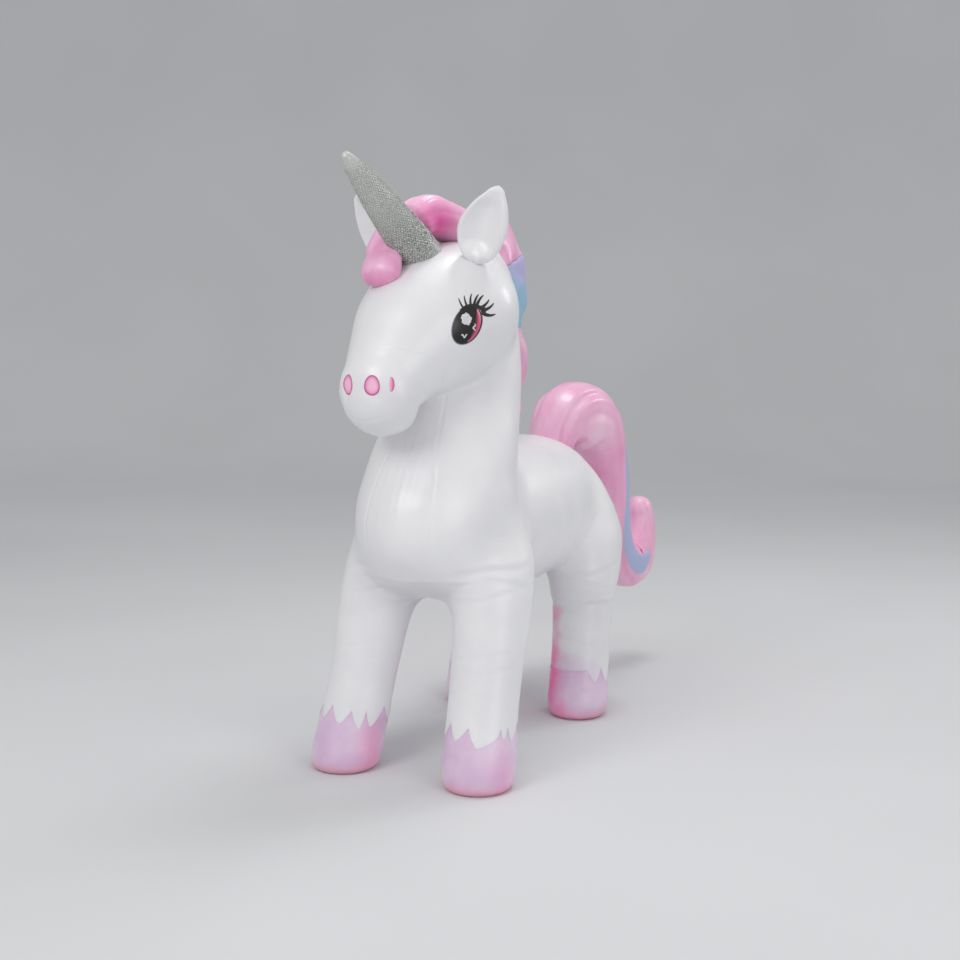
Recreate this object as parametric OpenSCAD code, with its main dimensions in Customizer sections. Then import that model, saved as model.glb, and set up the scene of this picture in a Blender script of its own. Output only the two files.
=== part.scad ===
// Standing inflatable unicorn for the pool: welded film panels over four air chambers,
// with three air valves that open.
// +Z is up, the animal faces -Y and its left side is +X. The origin is on the floor.

/* [Torso] */
// Height of the torso's centre line above the floor
torso_z = 580; // [560:5:600]
// Half width of the torso
torso_w = 196; // [185:1:205]
// Half height of the torso
torso_h = 188; // [180:1:195]
// Front end of the chest along Y
chest_y = -395; // [-410:5:-385]
// Rear end of the rump along Y
rump_y = 640; // [620:5:660]

/* [Legs] */
// Sideways place of the front hooves
front_x = 180; // [170:1:190]
// Place of the front hooves along Y
front_y = -334; // [-345:1:-320]
// Sideways place of the rear hooves
rear_x = 160; // [150:1:175]
// Place of the rear hooves along Y
rear_y = 330; // [320:1:345]
// Radius of a leg at its hoof
leg_r = 86; // [80:1:92]
// Height of the seam between hoof and leg
hoof_h = 130; // [110:1:150]

/* [Head] */
// Turn of the head about the neck, to the animal's right
head_turn = 9; // [0:1:12]
// Radius of the horn at its base
horn_r = 63; // [55:1:68]
// Length of an ear
ear_len = 165; // [140:5:180]
// Half width of an ear
ear_w = 56; // [45:1:60]

/* [Mane and tail] */
// Half thickness of the mane
mane_w = 64; // [50:1:65]
// Sideways swing of the tail
tail_turn = 12; // [0:1:15]

/* [Film and valves] */
// Thickness of the film as it is drawn
wall = 2; // [1.5:0.1:3]
// Bore of the large body valve
big_bore_r = 9; // [8:0.5:10]
// Bore of the two small valves
small_bore_r = 4; // [3.5:0.25:4.5]

/* [Hidden] */

white_film = "white";
pink_film = "hotpink";
blue_film = "skyblue";
hoof_film = "thistle";

// Clear space between the rim of one panel and the panel that it is welded on
weld = 1;
// Points round a full ring, and round the thinner limbs
ring_n = 28;
limb_n = 20;

// The shapes below are laid out from the middle between the hooves. The whole object is
// this far forward of there, so that its box is centred on the origin.
forward = 278;
module stand() {
    translate([0, -forward, 0]) children();
}

// ---- Panels --------------------------------------------------------------------------

function mix(a, b, t) = a + (b - a) * t;
function turn_about(p, c, angle) = [
    c[0] + (p[0] - c[0]) * cos(angle) - (p[1] - c[1]) * sin(angle),
    c[1] + (p[0] - c[0]) * sin(angle) + (p[1] - c[1]) * cos(angle),
    p[2]
];
function unit(v) = v / norm(v);
// Direction of a list of [y, z, ...] at place i
function run_at(list, i) =
    let (a = list[max(i - 1, 0)], b = list[min(i + 1, len(list) - 1)])
    unit([b[0] - a[0], b[1] - a[1]]);
function angles(from, to, steps) = [for (i = [0 : steps]) mix(from, to, i / steps)];
function ring_angles(n) = [for (j = [0 : n - 1]) 360 * j / n];
function middle(points) = [for (p = points) 1] * points / len(points);

// Two triangles for each cell of a band between grid rows a and b
function band(a, b, m, closed, flip) = [
    for (j = [0 : m - (closed ? 1 : 2)])
        let (k = (j + 1) % m)
            for (t = [[a + j, b + j, b + k], [a + j, b + k, a + k]])
                flip ? [t[2], t[1], t[0]] : t
];

// A film sleeve: closed rings outside and inside, open at both ends, or closed at the last
module sleeve(outer, inner, flip = false, closed_end = false) {
    rows = len(outer);
    m = len(outer[0]);
    half = rows * m;
    last = rows - 1;
    tips = closed_end ? [middle(outer[last]), middle(inner[last])] : [];
    points = concat([for (r = outer) each r], [for (r = inner) each r], tips);
    faces = concat(
        [for (i = [0 : rows - 2]) each band(i * m, (i + 1) * m, m, true, flip)],
        [for (i = [0 : rows - 2]) each band(half + i * m, half + (i + 1) * m, m, true, !flip)],
        band(half, 0, m, true, flip),
        closed_end
            ? concat(
                tip_fan(last * m, 2 * half, m, flip),
                tip_fan(half + last * m, 2 * half + 1, m, !flip))
            : band(last * m, half + last * m, m, true, flip)
    );
    polyhedron(points = points, faces = faces, convexity = 6);
}

function tip_fan(row, tip, m, flip) = [
    for (j = [0 : m - 1])
        let (k = (j + 1) % m) flip ? [row + k, tip, row + j] : [row + j, tip, row + k]
];

// A film panel: open rows of points outside and inside, closed along all four edges
module panel(outer, inner, flip = false) {
    rows = len(outer);
    m = len(outer[0]);
    half = rows * m;
    last = rows - 1;
    points = concat([for (r = outer) each r], [for (r = inner) each r]);
    near_edge = [for (i = [0 : last]) [i * m, half + i * m]];
    far_edge = [for (i = [1 : rows]) [i * m - 1, half + i * m - 1]];
    faces = concat(
        [for (i = [0 : last - 1]) each band(i * m, (i + 1) * m, m, false, flip)],
        [for (i = [0 : last - 1]) each band(half + i * m, half + (i + 1) * m, m, false, !flip)],
        band(half, 0, m, false, flip),
        band(last * m, half + last * m, m, false, flip),
        edge_strip(near_edge, !flip),
        edge_strip(far_edge, flip)
    );
    polyhedron(points = points, faces = faces, convexity = 6);
}

// A solid pod: closed rings between two tips
module pod(rings, tips) {
    m = len(rings[0]);
    last = len(rings) - 1;
    end = len(rings) * m;
    faces = concat(
        [for (i = [0 : last - 1]) each band(i * m, (i + 1) * m, m, true, true)],
        tip_fan(0, end, m, false),
        tip_fan(last * m, end + 1, m, true)
    );
    polyhedron(points = concat([for (r = rings) each r], tips), faces = faces, convexity = 2);
}

// The strip that joins the outside of an edge to its inside: pairs of points along it
function edge_strip(pairs, flip) = [
    for (i = [0 : len(pairs) - 2])
        let (p = pairs[i], q = pairs[i + 1])
            for (t = [[p[0], q[0], q[1]], [p[0], q[1], p[1]]])
                flip ? [t[2], t[1], t[0]] : t
];

// ---- Torso ---------------------------------------------------------------------------

torso_mid = (chest_y + rump_y) / 2;
torso_half = (rump_y - chest_y) / 2;
// How blunt the ends of the torso are
torso_blunt = 5;
torso_steps = 12;

// Share of the full section that the torso has at y
function torso_share(y) = sqrt(max(0, 1 - pow(abs((y - torso_mid) / torso_half), torso_blunt)));
// A point on the torso, with angle 0 straight down and 90 at its left side
function torso_at(y, angle, out = 0) = [
    max(1, torso_w * torso_share(y) + out) * sin(angle),
    y,
    torso_z - max(1, torso_h * torso_share(y) + out) * cos(angle)
];
// The rings stop short of the two ends, which are single points
torso_places = [for (i = [0 : torso_steps]) sin(mix(-84, 84, i / torso_steps))];
// Half the gap between the two halves at the seam
seam_gap = 0.3;

module torso_pod(inset) {
    rings = [
        for (v = torso_places)
            [for (a = ring_angles(ring_n))
                torso_at(torso_mid + v * torso_half, a, -inset) - [0, v * inset, 0]]
    ];
    pod(rings, [[0, chest_y + inset, torso_z], [0, rump_y - inset, torso_z]]);
}
module torso_half_panel() {
    far = 2 * torso_half;
    difference() {
        torso_pod(0);
        torso_pod(wall);
        translate([seam_gap - far, torso_mid - far, 0]) cube([far, 2 * far, 2 * far]);
    }
}

module torso_left_panel() {
    color(white_film) stand() torso_half_panel();
}

module torso_right_panel() {
    color(white_film) stand()
        difference() {
            mirror([1, 0, 0]) torso_half_panel();
            valve_frame(body_valve) valve_hole(big_bore_r);
        }
}

// ---- Head ----------------------------------------------------------------------------

// Along the head from poll to muzzle: [y, z, half width, half depth]
head_stations = [
    [-2, 1217, 48, 40], [-50, 1188, 128, 118], [-112, 1142, 172, 164], [-175, 1080, 182, 180],
    [-235, 1015, 170, 172], [-295, 955, 138, 140], [-350, 905, 114, 112], [-396, 872, 95, 92],
    [-424, 852, 60, 57]
];
neck_axis = [0, -100];
// Station at which the side panels end and the muzzle begins
muzzle_from = 5;

function head_fore(i) = let (run = run_at(head_stations, i)) [run[1], -run[0]];
function head_ring_at(i, angle, out) =
    let (s = head_stations[i], n = head_fore(i))
    [(s[2] + out) * sin(angle), s[0] + (s[3] + out) * cos(angle) * n[0],
        s[1] + (s[3] + out) * cos(angle) * n[1]];
// A point on the head, with angle 0 at the forehead and 90 at its left side
function head_at(s, angle, out = 0) =
    let (i = min(floor(s), len(head_stations) - 2))
    turn_about(mix(head_ring_at(i, angle, out), head_ring_at(i + 1, angle, out), s - i),
        neck_axis, -head_turn);

function skull_rows(from, to, inset) = [
    for (i = [0 : muzzle_from])
        [for (a = angles(from, to, ring_n / 2)) head_at(i, a, -inset)]
];

module head_left_panel() {
    color(white_film) stand() panel(skull_rows(0, 180, 0), skull_rows(0, 180, wall), flip = true);
}

module head_right_panel() {
    color(white_film) stand() panel(skull_rows(180, 360, 0), skull_rows(180, 360, wall), flip = true);
}

function muzzle_rows(inset) = concat(
    [for (s = [muzzle_from + 0.01, 6, 7, 8]) [for (a = ring_angles(ring_n)) head_at(s, a, -inset)]],
    [[for (a = ring_angles(ring_n)) muzzle_end(a, inset)]]
);
// The last ring of the muzzle, just past the last station: its radius and how far past
muzzle_tip = [26, 13];
function muzzle_end(angle, inset) =
    let (s = head_stations[8], n = head_fore(8), size = muzzle_tip[0] - inset,
        ahead = muzzle_tip[1] - inset)
    turn_about([size * sin(angle),
        s[0] + size * cos(angle) * n[0] - ahead * n[1],
        s[1] + size * cos(angle) * n[1] - ahead * -n[0]], neck_axis, -head_turn);

module muzzle_panel() {
    color(white_film) stand()
        sleeve(muzzle_rows(0), muzzle_rows(wall), flip = true, closed_end = true);
}

// ---- Neck ----------------------------------------------------------------------------

// Free rings of the neck: [centre y, centre z, half width, half depth, tilt]
neck_rings = [[-105, 825, 163, 170, 6], [-52, 893, 150, 140, 20]];
// Where the neck meets the torso: centre y, half length, half angle
neck_root = [-155, 175, 62];
// Where the neck meets the head: middle station, stations each way, half angle
neck_top = [2.6, 1.85, 62];
// Half angle of the gusset down the front of the neck
gusset_half = 28;

function neck_root_at(angle, inset) = torso_at(neck_root[0] + (neck_root[1] - inset) * sin(angle),
    180 - (neck_root[2] - inset / 3) * cos(angle), weld);
function neck_ring_at(r, angle, inset) = [
    (r[2] - inset) * cos(angle),
    r[0] + (r[3] - inset) * sin(angle) * cos(r[4]),
    r[1] + (r[3] - inset) * sin(angle) * sin(r[4])
];
function neck_top_at(angle, inset) = head_at(neck_top[0] - (neck_top[1] - inset / 80) * sin(angle),
    180 - (neck_top[2] - inset / 3) * cos(angle), 2 * weld);
function neck_rows(from, to, steps, inset) = concat(
    [[for (a = angles(from, to, steps)) neck_root_at(a, inset)]],
    [for (r = neck_rings) [for (a = angles(from, to, steps)) neck_ring_at(r, a, inset)]],
    [[for (a = angles(from, to, steps)) neck_top_at(a, inset)]]
);
module neck_part(from, to, steps) {
    panel(neck_rows(from, to, steps, 0), neck_rows(from, to, steps, wall));
}

module chest_gusset() {
    color(white_film) stand() neck_part(270 - gusset_half, 270 + gusset_half, 4);
}

module neck_left_panel() {
    color(white_film) stand() neck_part(-90 + gusset_half, 90, 12);
}

module neck_right_panel() {
    color(white_film) stand()
        difference() {
            neck_part(90, 270 - gusset_half, 12);
            valve_frame(head_valve) valve_hole(small_bore_r);
        }
}

// ---- Horn, ears and forelock ---------------------------------------------------------

// Along the horn: [share of the length, share of the radius]
horn_profile = [[0.2, 0.88], [0.45, 0.66], [0.7, 0.42], [0.9, 0.22], [1, 0.1]];
horn_station = 2.35;
horn_base = head_at(horn_station, 0);
horn_axis = turn_about([0, -0.818, 0.575], [0, 0], -head_turn);
horn_side = turn_about([1, 0, 0], [0, 0], -head_turn);
horn_len = 314;
// Length of the head per station, and per degree round it, under the horn
station_len = 88;
degree_len = 3.02;

function horn_row(share, size, inset) =
    let (up = cross(horn_side, horn_axis))
    [for (a = ring_angles(limb_n))
        horn_base + horn_axis * (share * horn_len - (share == 1 ? inset : 0))
            + (size * horn_r - inset) * (cos(a) * horn_side + sin(a) * up)];
function horn_foot(inset) = [
    for (a = ring_angles(limb_n))
        head_at(horn_station + (horn_r - inset) / station_len * sin(a),
            (horn_r - inset) / degree_len * cos(a), weld)
];
function horn_rows(inset) = concat([horn_foot(inset)],
    [for (p = horn_profile) horn_row(p[0], p[1], inset)]);

// The space that the horn takes, which the forelock is cut back from
module horn_space() {
    pod(horn_rows(-weld), [head_at(horn_station, 0), horn_base + horn_axis * (horn_len + wall)]);
}

module horn() {
    color("silver") stand() sleeve(horn_rows(0), horn_rows(wall), flip = true, closed_end = true);
}

// Where an ear stands on the head: station, angle from the forehead
ear_station = 2.15;
ear_angle = 52;
// Up the ear: [share of the length, share of the width, share of the thickness]
ear_profile = [[0, 0.35, 0.7], [0.25, 0.92, 1], [0.55, 1, 0.9], [0.8, 0.62, 0.7], [1, 0.12, 0.25]];
ear_thick = 22;
// How far the lowest row of an ear stands clear of the head
ear_clear = 6;

function ear_row(side, p, from, to, inset) =
    let (foot = head_at(ear_station, side * ear_angle, weld + 3),
        up = turn_about([side * 0.4, -0.2, 0.894], [0, 0], -head_turn),
        across = turn_about([0.86, 0.45 * side, -0.24 * side], [0, 0], -head_turn),
        through = unit(cross(across, up)))
    [for (a = angles(from, to, limb_n / 2))
        foot + up * (p[0] * ear_len + (p[0] == 0 ? ear_clear : 0) - (p[0] == 1 ? inset : 0))
            + across * (p[1] * ear_w - inset) * cos(a)
            + through * (p[2] * ear_thick - inset) * sin(a)];
module ear_part(side, from, to) {
    panel([for (p = ear_profile) ear_row(side, p, from, to, 0)],
        [for (p = ear_profile) ear_row(side, p, from, to, wall)], flip = true);
}

module ear_left_front() {
    color(white_film) stand() ear_part(1, 0.4, 179.6);
}

module ear_left_back() {
    color(white_film) stand() ear_part(1, 180.4, 359.6);
}

module ear_right_front() {
    color(white_film) stand() ear_part(-1, 0.4, 179.6);
}

module ear_right_back() {
    color(white_film) stand() ear_part(-1, 180.4, 359.6);
}

// Centre line of the crest and the roll: [x, y, z, half width, half depth]
crest_path = [
    [0, -8, 1314, 48, 32], [-4, -60, 1328, 62, 40], [-14, -118, 1332, 68, 43],
    [-32, -172, 1328, 62, 42], [-52, -216, 1310, 52, 38]
];
roll_path = [
    [-68, -246, 1302, 50, 32], [-80, -286, 1264, 52, 30], [-82, -316, 1222, 52, 34],
    [-78, -330, 1182, 46, 30]
];

function path_dir(path, i) =
    let (a = path[max(i - 1, 0)], b = path[min(i + 1, len(path) - 1)])
    unit([b[0] - a[0], b[1] - a[1], b[2] - a[2]]);
function path_row(path, i, n, inset) =
    let (p = path[i], t = path_dir(path, i), side = cross(t, [0, t[2], -t[1]]),
        u = unit(side), v = cross(t, u))
    [for (a = ring_angles(n)) [p[0], p[1], p[2]]
        + (p[3] - inset) * cos(a) * u + (p[4] - inset) * sin(a) * v];
function path_rows(path, n, inset) = [for (i = [0 : len(path) - 1]) path_row(path, i, n, inset)];

module forelock_crest() {
    color(pink_film) stand()
        difference() {
            sleeve(path_rows(crest_path, limb_n, 0), path_rows(crest_path, limb_n, wall));
            horn_space();
        }
}

module forelock_roll() {
    color(pink_film) stand()
        difference() {
            sleeve(path_rows(roll_path, limb_n, 0), path_rows(roll_path, limb_n, wall), closed_end = true);
            horn_space();
        }
}

// ---- Mane ----------------------------------------------------------------------------

// Down the back of the neck: [y of the foot, z, height off the neck, share of the thickness]
mane_line = [
    [8, 1292, 66, 0.75], [52, 1262, 122, 0.95], [68, 1215, 172, 1], [76, 1160, 192, 0.95],
    [84, 1105, 180, 0.85], [92, 1062, 158, 0.78], [98, 1010, 174, 0.95], [100, 950, 164, 0.92],
    [98, 895, 138, 0.78], [97, 845, 134, 0.85], [95, 790, 92, 0.62]
];
// Sections of the mane between its pinches, as places in the list above
mane_cuts = [0, 2, 5, 8, 10];
mane_steps = 10;

function mane_row(i, inset) =
    let (m = mane_line[i], run = run_at(mane_line, i))
    [for (t = angles(-90, 90, mane_steps))
        [(m[3] * mane_w - inset) * sin(t),
            m[0] - (m[2] - inset) * cos(t) * run[1],
            m[1] + (m[2] - inset) * cos(t) * run[0]]];
module mane_section(k) {
    rows = [for (i = [mane_cuts[k] : mane_cuts[k + 1]]) mane_row(i, 0)];
    rows_in = [for (i = [mane_cuts[k] : mane_cuts[k + 1]]) mane_row(i, wall)];
    panel(rows, rows_in);
}

module mane_top() {
    color(pink_film) stand() mane_section(0);
}

module mane_blue() {
    color(blue_film) stand() mane_section(1);
}

module mane_middle() {
    color(pink_film) stand() mane_section(2);
}

module mane_bottom() {
    color(pink_film) stand() mane_section(3);
}

// ---- Tail ----------------------------------------------------------------------------

// Centre line of the tail before it swings sideways: [y, z, half width, half depth]
tail_line = [
    [540, 790, 72, 70], [572, 822, 78, 76], [625, 840, 80, 76], [690, 838, 80, 74],
    [748, 800, 76, 70], [785, 735, 72, 66], [808, 650, 68, 62], [824, 560, 65, 60],
    [836, 470, 62, 58], [856, 385, 58, 56], [896, 315, 56, 54], [952, 284, 54, 52],
    [1003, 304, 50, 47], [1030, 362, 45, 42], [1032, 430, 38, 36], [1010, 490, 27, 24]
];
tail_cuts = [0, 5, 9, 15];
tail_axis = [0, 520];
// Where the tail meets the torso: y, half length, half angle
tail_root = [515, 62, 23];

function tail_row(i, inset) =
    let (s = tail_line[i], run = run_at(tail_line, i))
    [for (t = ring_angles(limb_n)) turn_about([
        (s[2] - inset) * cos(t),
        s[0] - (s[3] - inset) * sin(t) * run[1],
        s[1] + (s[3] - inset) * sin(t) * run[0]
    ], tail_axis, -tail_turn)];
// Foot of the tail, on top of the rump
function tail_foot(inset) = [
    for (t = ring_angles(limb_n))
        torso_at(tail_root[0] - (tail_root[1] - inset) * sin(t),
            180 - (tail_root[2] - inset / 3) * cos(t), weld)
];
function tail_rows(k, inset) = concat(k == 0 ? [tail_foot(inset)] : [],
    [for (i = [tail_cuts[k] : tail_cuts[k + 1]]) tail_row(i, inset)]);

module tail_arch() {
    color(pink_film) stand()
        difference() {
            sleeve(tail_rows(0, 0), tail_rows(0, wall), flip = true);
            valve_frame(tail_valve) valve_hole(small_bore_r);
        }
}

module tail_drop() {
    color(pink_film) stand() sleeve(tail_rows(1, 0), tail_rows(1, wall), flip = true);
}

module tail_curl() {
    color(pink_film) stand() sleeve(tail_rows(2, 0), tail_rows(2, wall), flip = true, closed_end = true);
}

// ---- Legs and hooves -----------------------------------------------------------------

// Lean of a leg per unit of height: inwards, backwards
front_lean = [0.067, 0.32];
rear_lean = [0.05, 0.25];
// Where a leg meets the torso: y, angle round the torso, half length, half angle
front_root = [-190, 46, 108, 33];
rear_root = [432, 46, 112, 34];
// Up the leg from the hoof seam: [height, extra radius]
leg_heights = [[hoof_h, 0], [250, 4], [362, 9]];
// Up the hoof: [height, radius lost]
hoof_heights = [[0, 16], [8, 7], [26, 0], [70, -1], [hoof_h - 0.3, 0]];
sole_r = (leg_r - hoof_heights[0][1] - wall) * cos(180 / limb_n) - 0.3;
sole_t = 2;

function leg_at(foot, lean, h, r, angle) = [
    foot[0] - lean[0] * h + r * cos(angle),
    foot[1] + lean[1] * h + r * sin(angle),
    h
];
function leg_rows(foot, lean, root, inset) = concat(
    [for (p = leg_heights)
        [for (a = ring_angles(limb_n)) leg_at(foot, lean, p[0], leg_r + p[1] - inset, a)]],
    [[for (a = ring_angles(limb_n))
        torso_at(root[0] + (root[2] - inset) * sin(a), root[1] + (root[3] - inset / 3) * cos(a), weld)]]
);
function hoof_rows(foot, lean, inset) = [
    for (p = hoof_heights)
        [for (a = ring_angles(limb_n)) leg_at(foot, lean, p[0], leg_r - p[1] - inset, a)]
];

module leg(foot, lean, root) {
    sleeve(leg_rows(foot, lean, root, 0), leg_rows(foot, lean, root, wall));
}

module hoof(foot, lean) {
    sleeve(hoof_rows(foot, lean, 0), hoof_rows(foot, lean, wall));
}

module sole(foot) {
    translate([foot[0], foot[1], 0]) cylinder(r = sole_r, h = sole_t, $fn = 96);
}

front_foot = [front_x, front_y];
rear_foot = [rear_x, rear_y];

module front_left_leg() {
    color(white_film) stand() leg(front_foot, front_lean, front_root);
}

module front_right_leg() {
    color(white_film) stand() mirror([1, 0, 0]) leg(front_foot, front_lean, front_root);
}

module rear_left_leg() {
    color(white_film) stand() leg(rear_foot, rear_lean, rear_root);
}

module rear_right_leg() {
    color(white_film) stand() mirror([1, 0, 0]) leg(rear_foot, rear_lean, rear_root);
}

module front_left_hoof() {
    color(hoof_film) stand() hoof(front_foot, front_lean);
}

module front_right_hoof() {
    color(hoof_film) stand() mirror([1, 0, 0]) hoof(front_foot, front_lean);
}

module rear_left_hoof() {
    color(hoof_film) stand() hoof(rear_foot, rear_lean);
}

module rear_right_hoof() {
    color(hoof_film) stand() mirror([1, 0, 0]) hoof(rear_foot, rear_lean);
}

module front_left_sole() {
    color(pink_film) stand() sole(front_foot);
}

module front_right_sole() {
    color(pink_film) stand() mirror([1, 0, 0]) sole(front_foot);
}

module rear_left_sole() {
    color(pink_film) stand() sole(rear_foot);
}

module rear_right_sole() {
    color(pink_film) stand() mirror([1, 0, 0]) sole(rear_foot);
}

// ---- Printed film patches ------------------------------------------------------------

// A round patch on the head: middle station, middle angle, stations each way, half angle
function patch_row(p, share, out) = [
    for (a = ring_angles(patch_n))
        head_at(p[0] + p[2] * share * sin(a), p[1] + p[3] * share * cos(a), out)
];
// Shares of the patch's size from its rim to its middle
patch_shares = [1, 0.6, 0.15];
patch_n = 16;
// Thickness of a patch and its height off the head
patch_film = 0.8;
patch_lift = 1.2;
module patch(p) {
    sleeve([for (s = patch_shares) patch_row(p, s, patch_lift + patch_film)],
        [for (s = patch_shares) patch_row(p, s, patch_lift)], flip = true, closed_end = true);
}

eye_place = [3.85, 74, 0.33, 7.5];
nostril_place = [7.1, 29, 0.3, 9];
crescent_place = [6.9, 52, 0.16, 4.5];
function mirrored(p) = [p[0], -p[1], p[2], p[3]];

module eye_left() {
    color("black") stand() patch(eye_place);
}

module eye_right() {
    color("black") stand() patch(mirrored(eye_place));
}

module nostril_prints() {
    color(pink_film) stand()
        for (p = [nostril_place, mirrored(nostril_place), crescent_place, mirrored(crescent_place)])
            patch(p);
}

// ---- Inner bulkheads -----------------------------------------------------------------

module bulkhead(rim, rim_low) {
    n = len(rim);
    points = concat(rim, rim_low, [middle(rim), middle(rim_low)]);
    faces = concat(
        tip_fan(0, 2 * n, n, false),
        tip_fan(n, 2 * n + 1, n, true),
        band(n, 0, n, true, false)
    );
    polyhedron(points = points, faces = faces, convexity = 2);
}

// Clear space between a bulkhead's rim and the skin round it
bulkhead_gap = 4;
// The disc inside the foot of the tail: radius and height above the rump
tail_disc = [46, 14];

module neck_bulkhead() {
    r = neck_rings[0];
    low = [r[0], r[1] - wall, r[2], r[3], r[4]];
    color(white_film) stand()
        bulkhead([for (a = ring_angles(ring_n)) neck_ring_at(r, a, wall + bulkhead_gap)],
            [for (a = ring_angles(ring_n)) neck_ring_at(low, a, wall + bulkhead_gap)]);
}

module tail_bulkhead() {
    color(white_film) stand()
        translate([0, tail_root[0], torso_z + torso_h + tail_disc[1]])
            cylinder(r = tail_disc[0], h = wall, $fn = 64);
}

// ---- Valves --------------------------------------------------------------------------

// A valve's seat on the skin: [x, y, z] of the flange's inner face, and how far its axis
// is turned from -X. Every hinge is on the upper side of its valve.
body_valve = [-torso_w - 1, 180, torso_z, 0];
head_valve = [-162, -92, 862, 0];
tail_valve = [-54.8, 653.8, 838, -tail_turn];

stem_wall = 2.5;
// Running clearance between stem and flange, and the gap round parts that swing
slide_gap = 0.05;
swing_gap = 0.4;
flange_t = 1.5;
// The stem's outer and inner ends, from the flange's inner face
stem_top = 16;
stem_foot = -14;
rim_t = 2;
flap_t = 1;
cap_t = 2;
// Height of the hinge line of the cap, and its distance past the bore
hinge_z = 13.1;
hinge_past = 9;
// The tongue from stem to cap: its width, and on the stem its depth below the hinge line,
// thickness and shortfall from that line
arm_w = 6;
arm_drop = 2.1;
stem_arm_t = 1.7;
arm_gap = 0.6;
// The cap's own end of the tongue: how far it runs past the hinge line, and its thickness
cap_arm_past = 0.3;
cap_arm_t = 1.5;
// How far the stem's rim and the flap reach past the stem's wall and bore
rim_past = 2;
flap_past = 1.6;
// The cap's skirt: its clearance round the rim and its wall
cap_gap = 0.6;
cap_wall = 1.8;
// The flange's width round the bore, and the hole in the film
flange_past = 16;
hole_past = 6;
hole_len = 100;

module valve_frame(seat) {
    translate([seat[0], seat[1], seat[2]]) rotate([0, 0, seat[3]]) rotate([0, -90, 0]) children();
}

module valve_hole(bore) {
    translate([0, 0, -hole_len / 2]) cylinder(r = bore + hole_past, h = hole_len, $fn = 64);
}

module valve_flange(bore) {
    difference() {
        cylinder(r = bore + flange_past, h = flange_t, $fn = 96);
        translate([0, 0, -1]) cylinder(r = bore + stem_wall + slide_gap, h = flange_t + 2, $fn = 96);
    }
}

module valve_stem(bore) {
    difference() {
        union() {
            translate([0, 0, stem_foot])
                cylinder(r = bore + stem_wall, h = stem_top - stem_foot, $fn = 96);
            translate([0, 0, stem_top - rim_t])
                cylinder(r = bore + stem_wall + rim_past, h = rim_t, $fn = 96);
            translate([0, -arm_w / 2, hinge_z - arm_drop])
                cube([bore + hinge_past - arm_gap, arm_w, stem_arm_t]);
        }
        translate([0, 0, stem_foot - 1]) cylinder(r = bore, h = stem_top - stem_foot + 2, $fn = 96);
    }
}

module valve_flap(bore) {
    translate([0, 0, stem_foot - swing_gap - flap_t])
        cylinder(r = bore + flap_past, h = flap_t, $fn = 96);
}

module valve_cap(bore) {
    skirt_r = bore + stem_wall + rim_past + cap_gap;
    skirt_foot = hinge_z + swing_gap;
    difference() {
        union() {
            translate([0, 0, skirt_foot])
                cylinder(r = skirt_r + cap_wall, h = stem_top + cap_t - hinge_z, $fn = 96);
            translate([0, -arm_w / 2, skirt_foot])
                cube([bore + hinge_past + cap_arm_past, arm_w, cap_arm_t]);
        }
        cylinder(r = skirt_r, h = stem_top + swing_gap, $fn = 96);
    }
}

module body_valve_flange() {
    color("white") stand() valve_frame(body_valve) valve_flange(big_bore_r);
}

module body_valve_stem() {
    color("white") stand() valve_frame(body_valve) valve_stem(big_bore_r);
}

module body_valve_flap() {
    color("gainsboro") stand() valve_frame(body_valve) valve_flap(big_bore_r);
}

module body_valve_cap() {
    color("white") stand() valve_frame(body_valve) valve_cap(big_bore_r);
}

module head_valve_flange() {
    color("white") stand() valve_frame(head_valve) valve_flange(small_bore_r);
}

module head_valve_stem() {
    color("white") stand() valve_frame(head_valve) valve_stem(small_bore_r);
}

module head_valve_flap() {
    color("gainsboro") stand() valve_frame(head_valve) valve_flap(small_bore_r);
}

module head_valve_cap() {
    color("white") stand() valve_frame(head_valve) valve_cap(small_bore_r);
}

module tail_valve_flange() {
    color("pink") stand() valve_frame(tail_valve) valve_flange(small_bore_r);
}

module tail_valve_stem() {
    color("pink") stand() valve_frame(tail_valve) valve_stem(small_bore_r);
}

module tail_valve_flap() {
    color("gainsboro") stand() valve_frame(tail_valve) valve_flap(small_bore_r);
}

module tail_valve_cap() {
    color("pink") stand() valve_frame(tail_valve) valve_cap(small_bore_r);
}

torso_left_panel();
torso_right_panel();
chest_gusset();
neck_left_panel();
neck_right_panel();
head_left_panel();
head_right_panel();
muzzle_panel();
horn();
ear_left_front();
ear_left_back();
ear_right_front();
ear_right_back();
forelock_roll();
forelock_crest();
mane_top();
mane_blue();
mane_middle();
mane_bottom();
tail_arch();
tail_drop();
tail_curl();
front_left_leg();
front_right_leg();
rear_left_leg();
rear_right_leg();
front_left_hoof();
front_right_hoof();
rear_left_hoof();
rear_right_hoof();
front_left_sole();
front_right_sole();
rear_left_sole();
rear_right_sole();
eye_left();
eye_right();
nostril_prints();
neck_bulkhead();
tail_bulkhead();
body_valve_flange();
body_valve_stem();
body_valve_flap();
body_valve_cap();
head_valve_flange();
head_valve_stem();
head_valve_flap();
head_valve_cap();
tail_valve_flange();
tail_valve_stem();
tail_valve_flap();
tail_valve_cap();
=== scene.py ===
"""Looks of a standing inflatable unicorn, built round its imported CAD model.

The white skin is one blended surface: tubes for torso, neck, head and legs are joined
smoothly, meshed, cut along the weld seams and split into the film panels. Mane, forelock,
tail, ears, horn and prints are swept or laid on that skin. Lengths are in metres, in a
"home" frame whose origin is on the floor midway between the hooves.
"""

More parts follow.
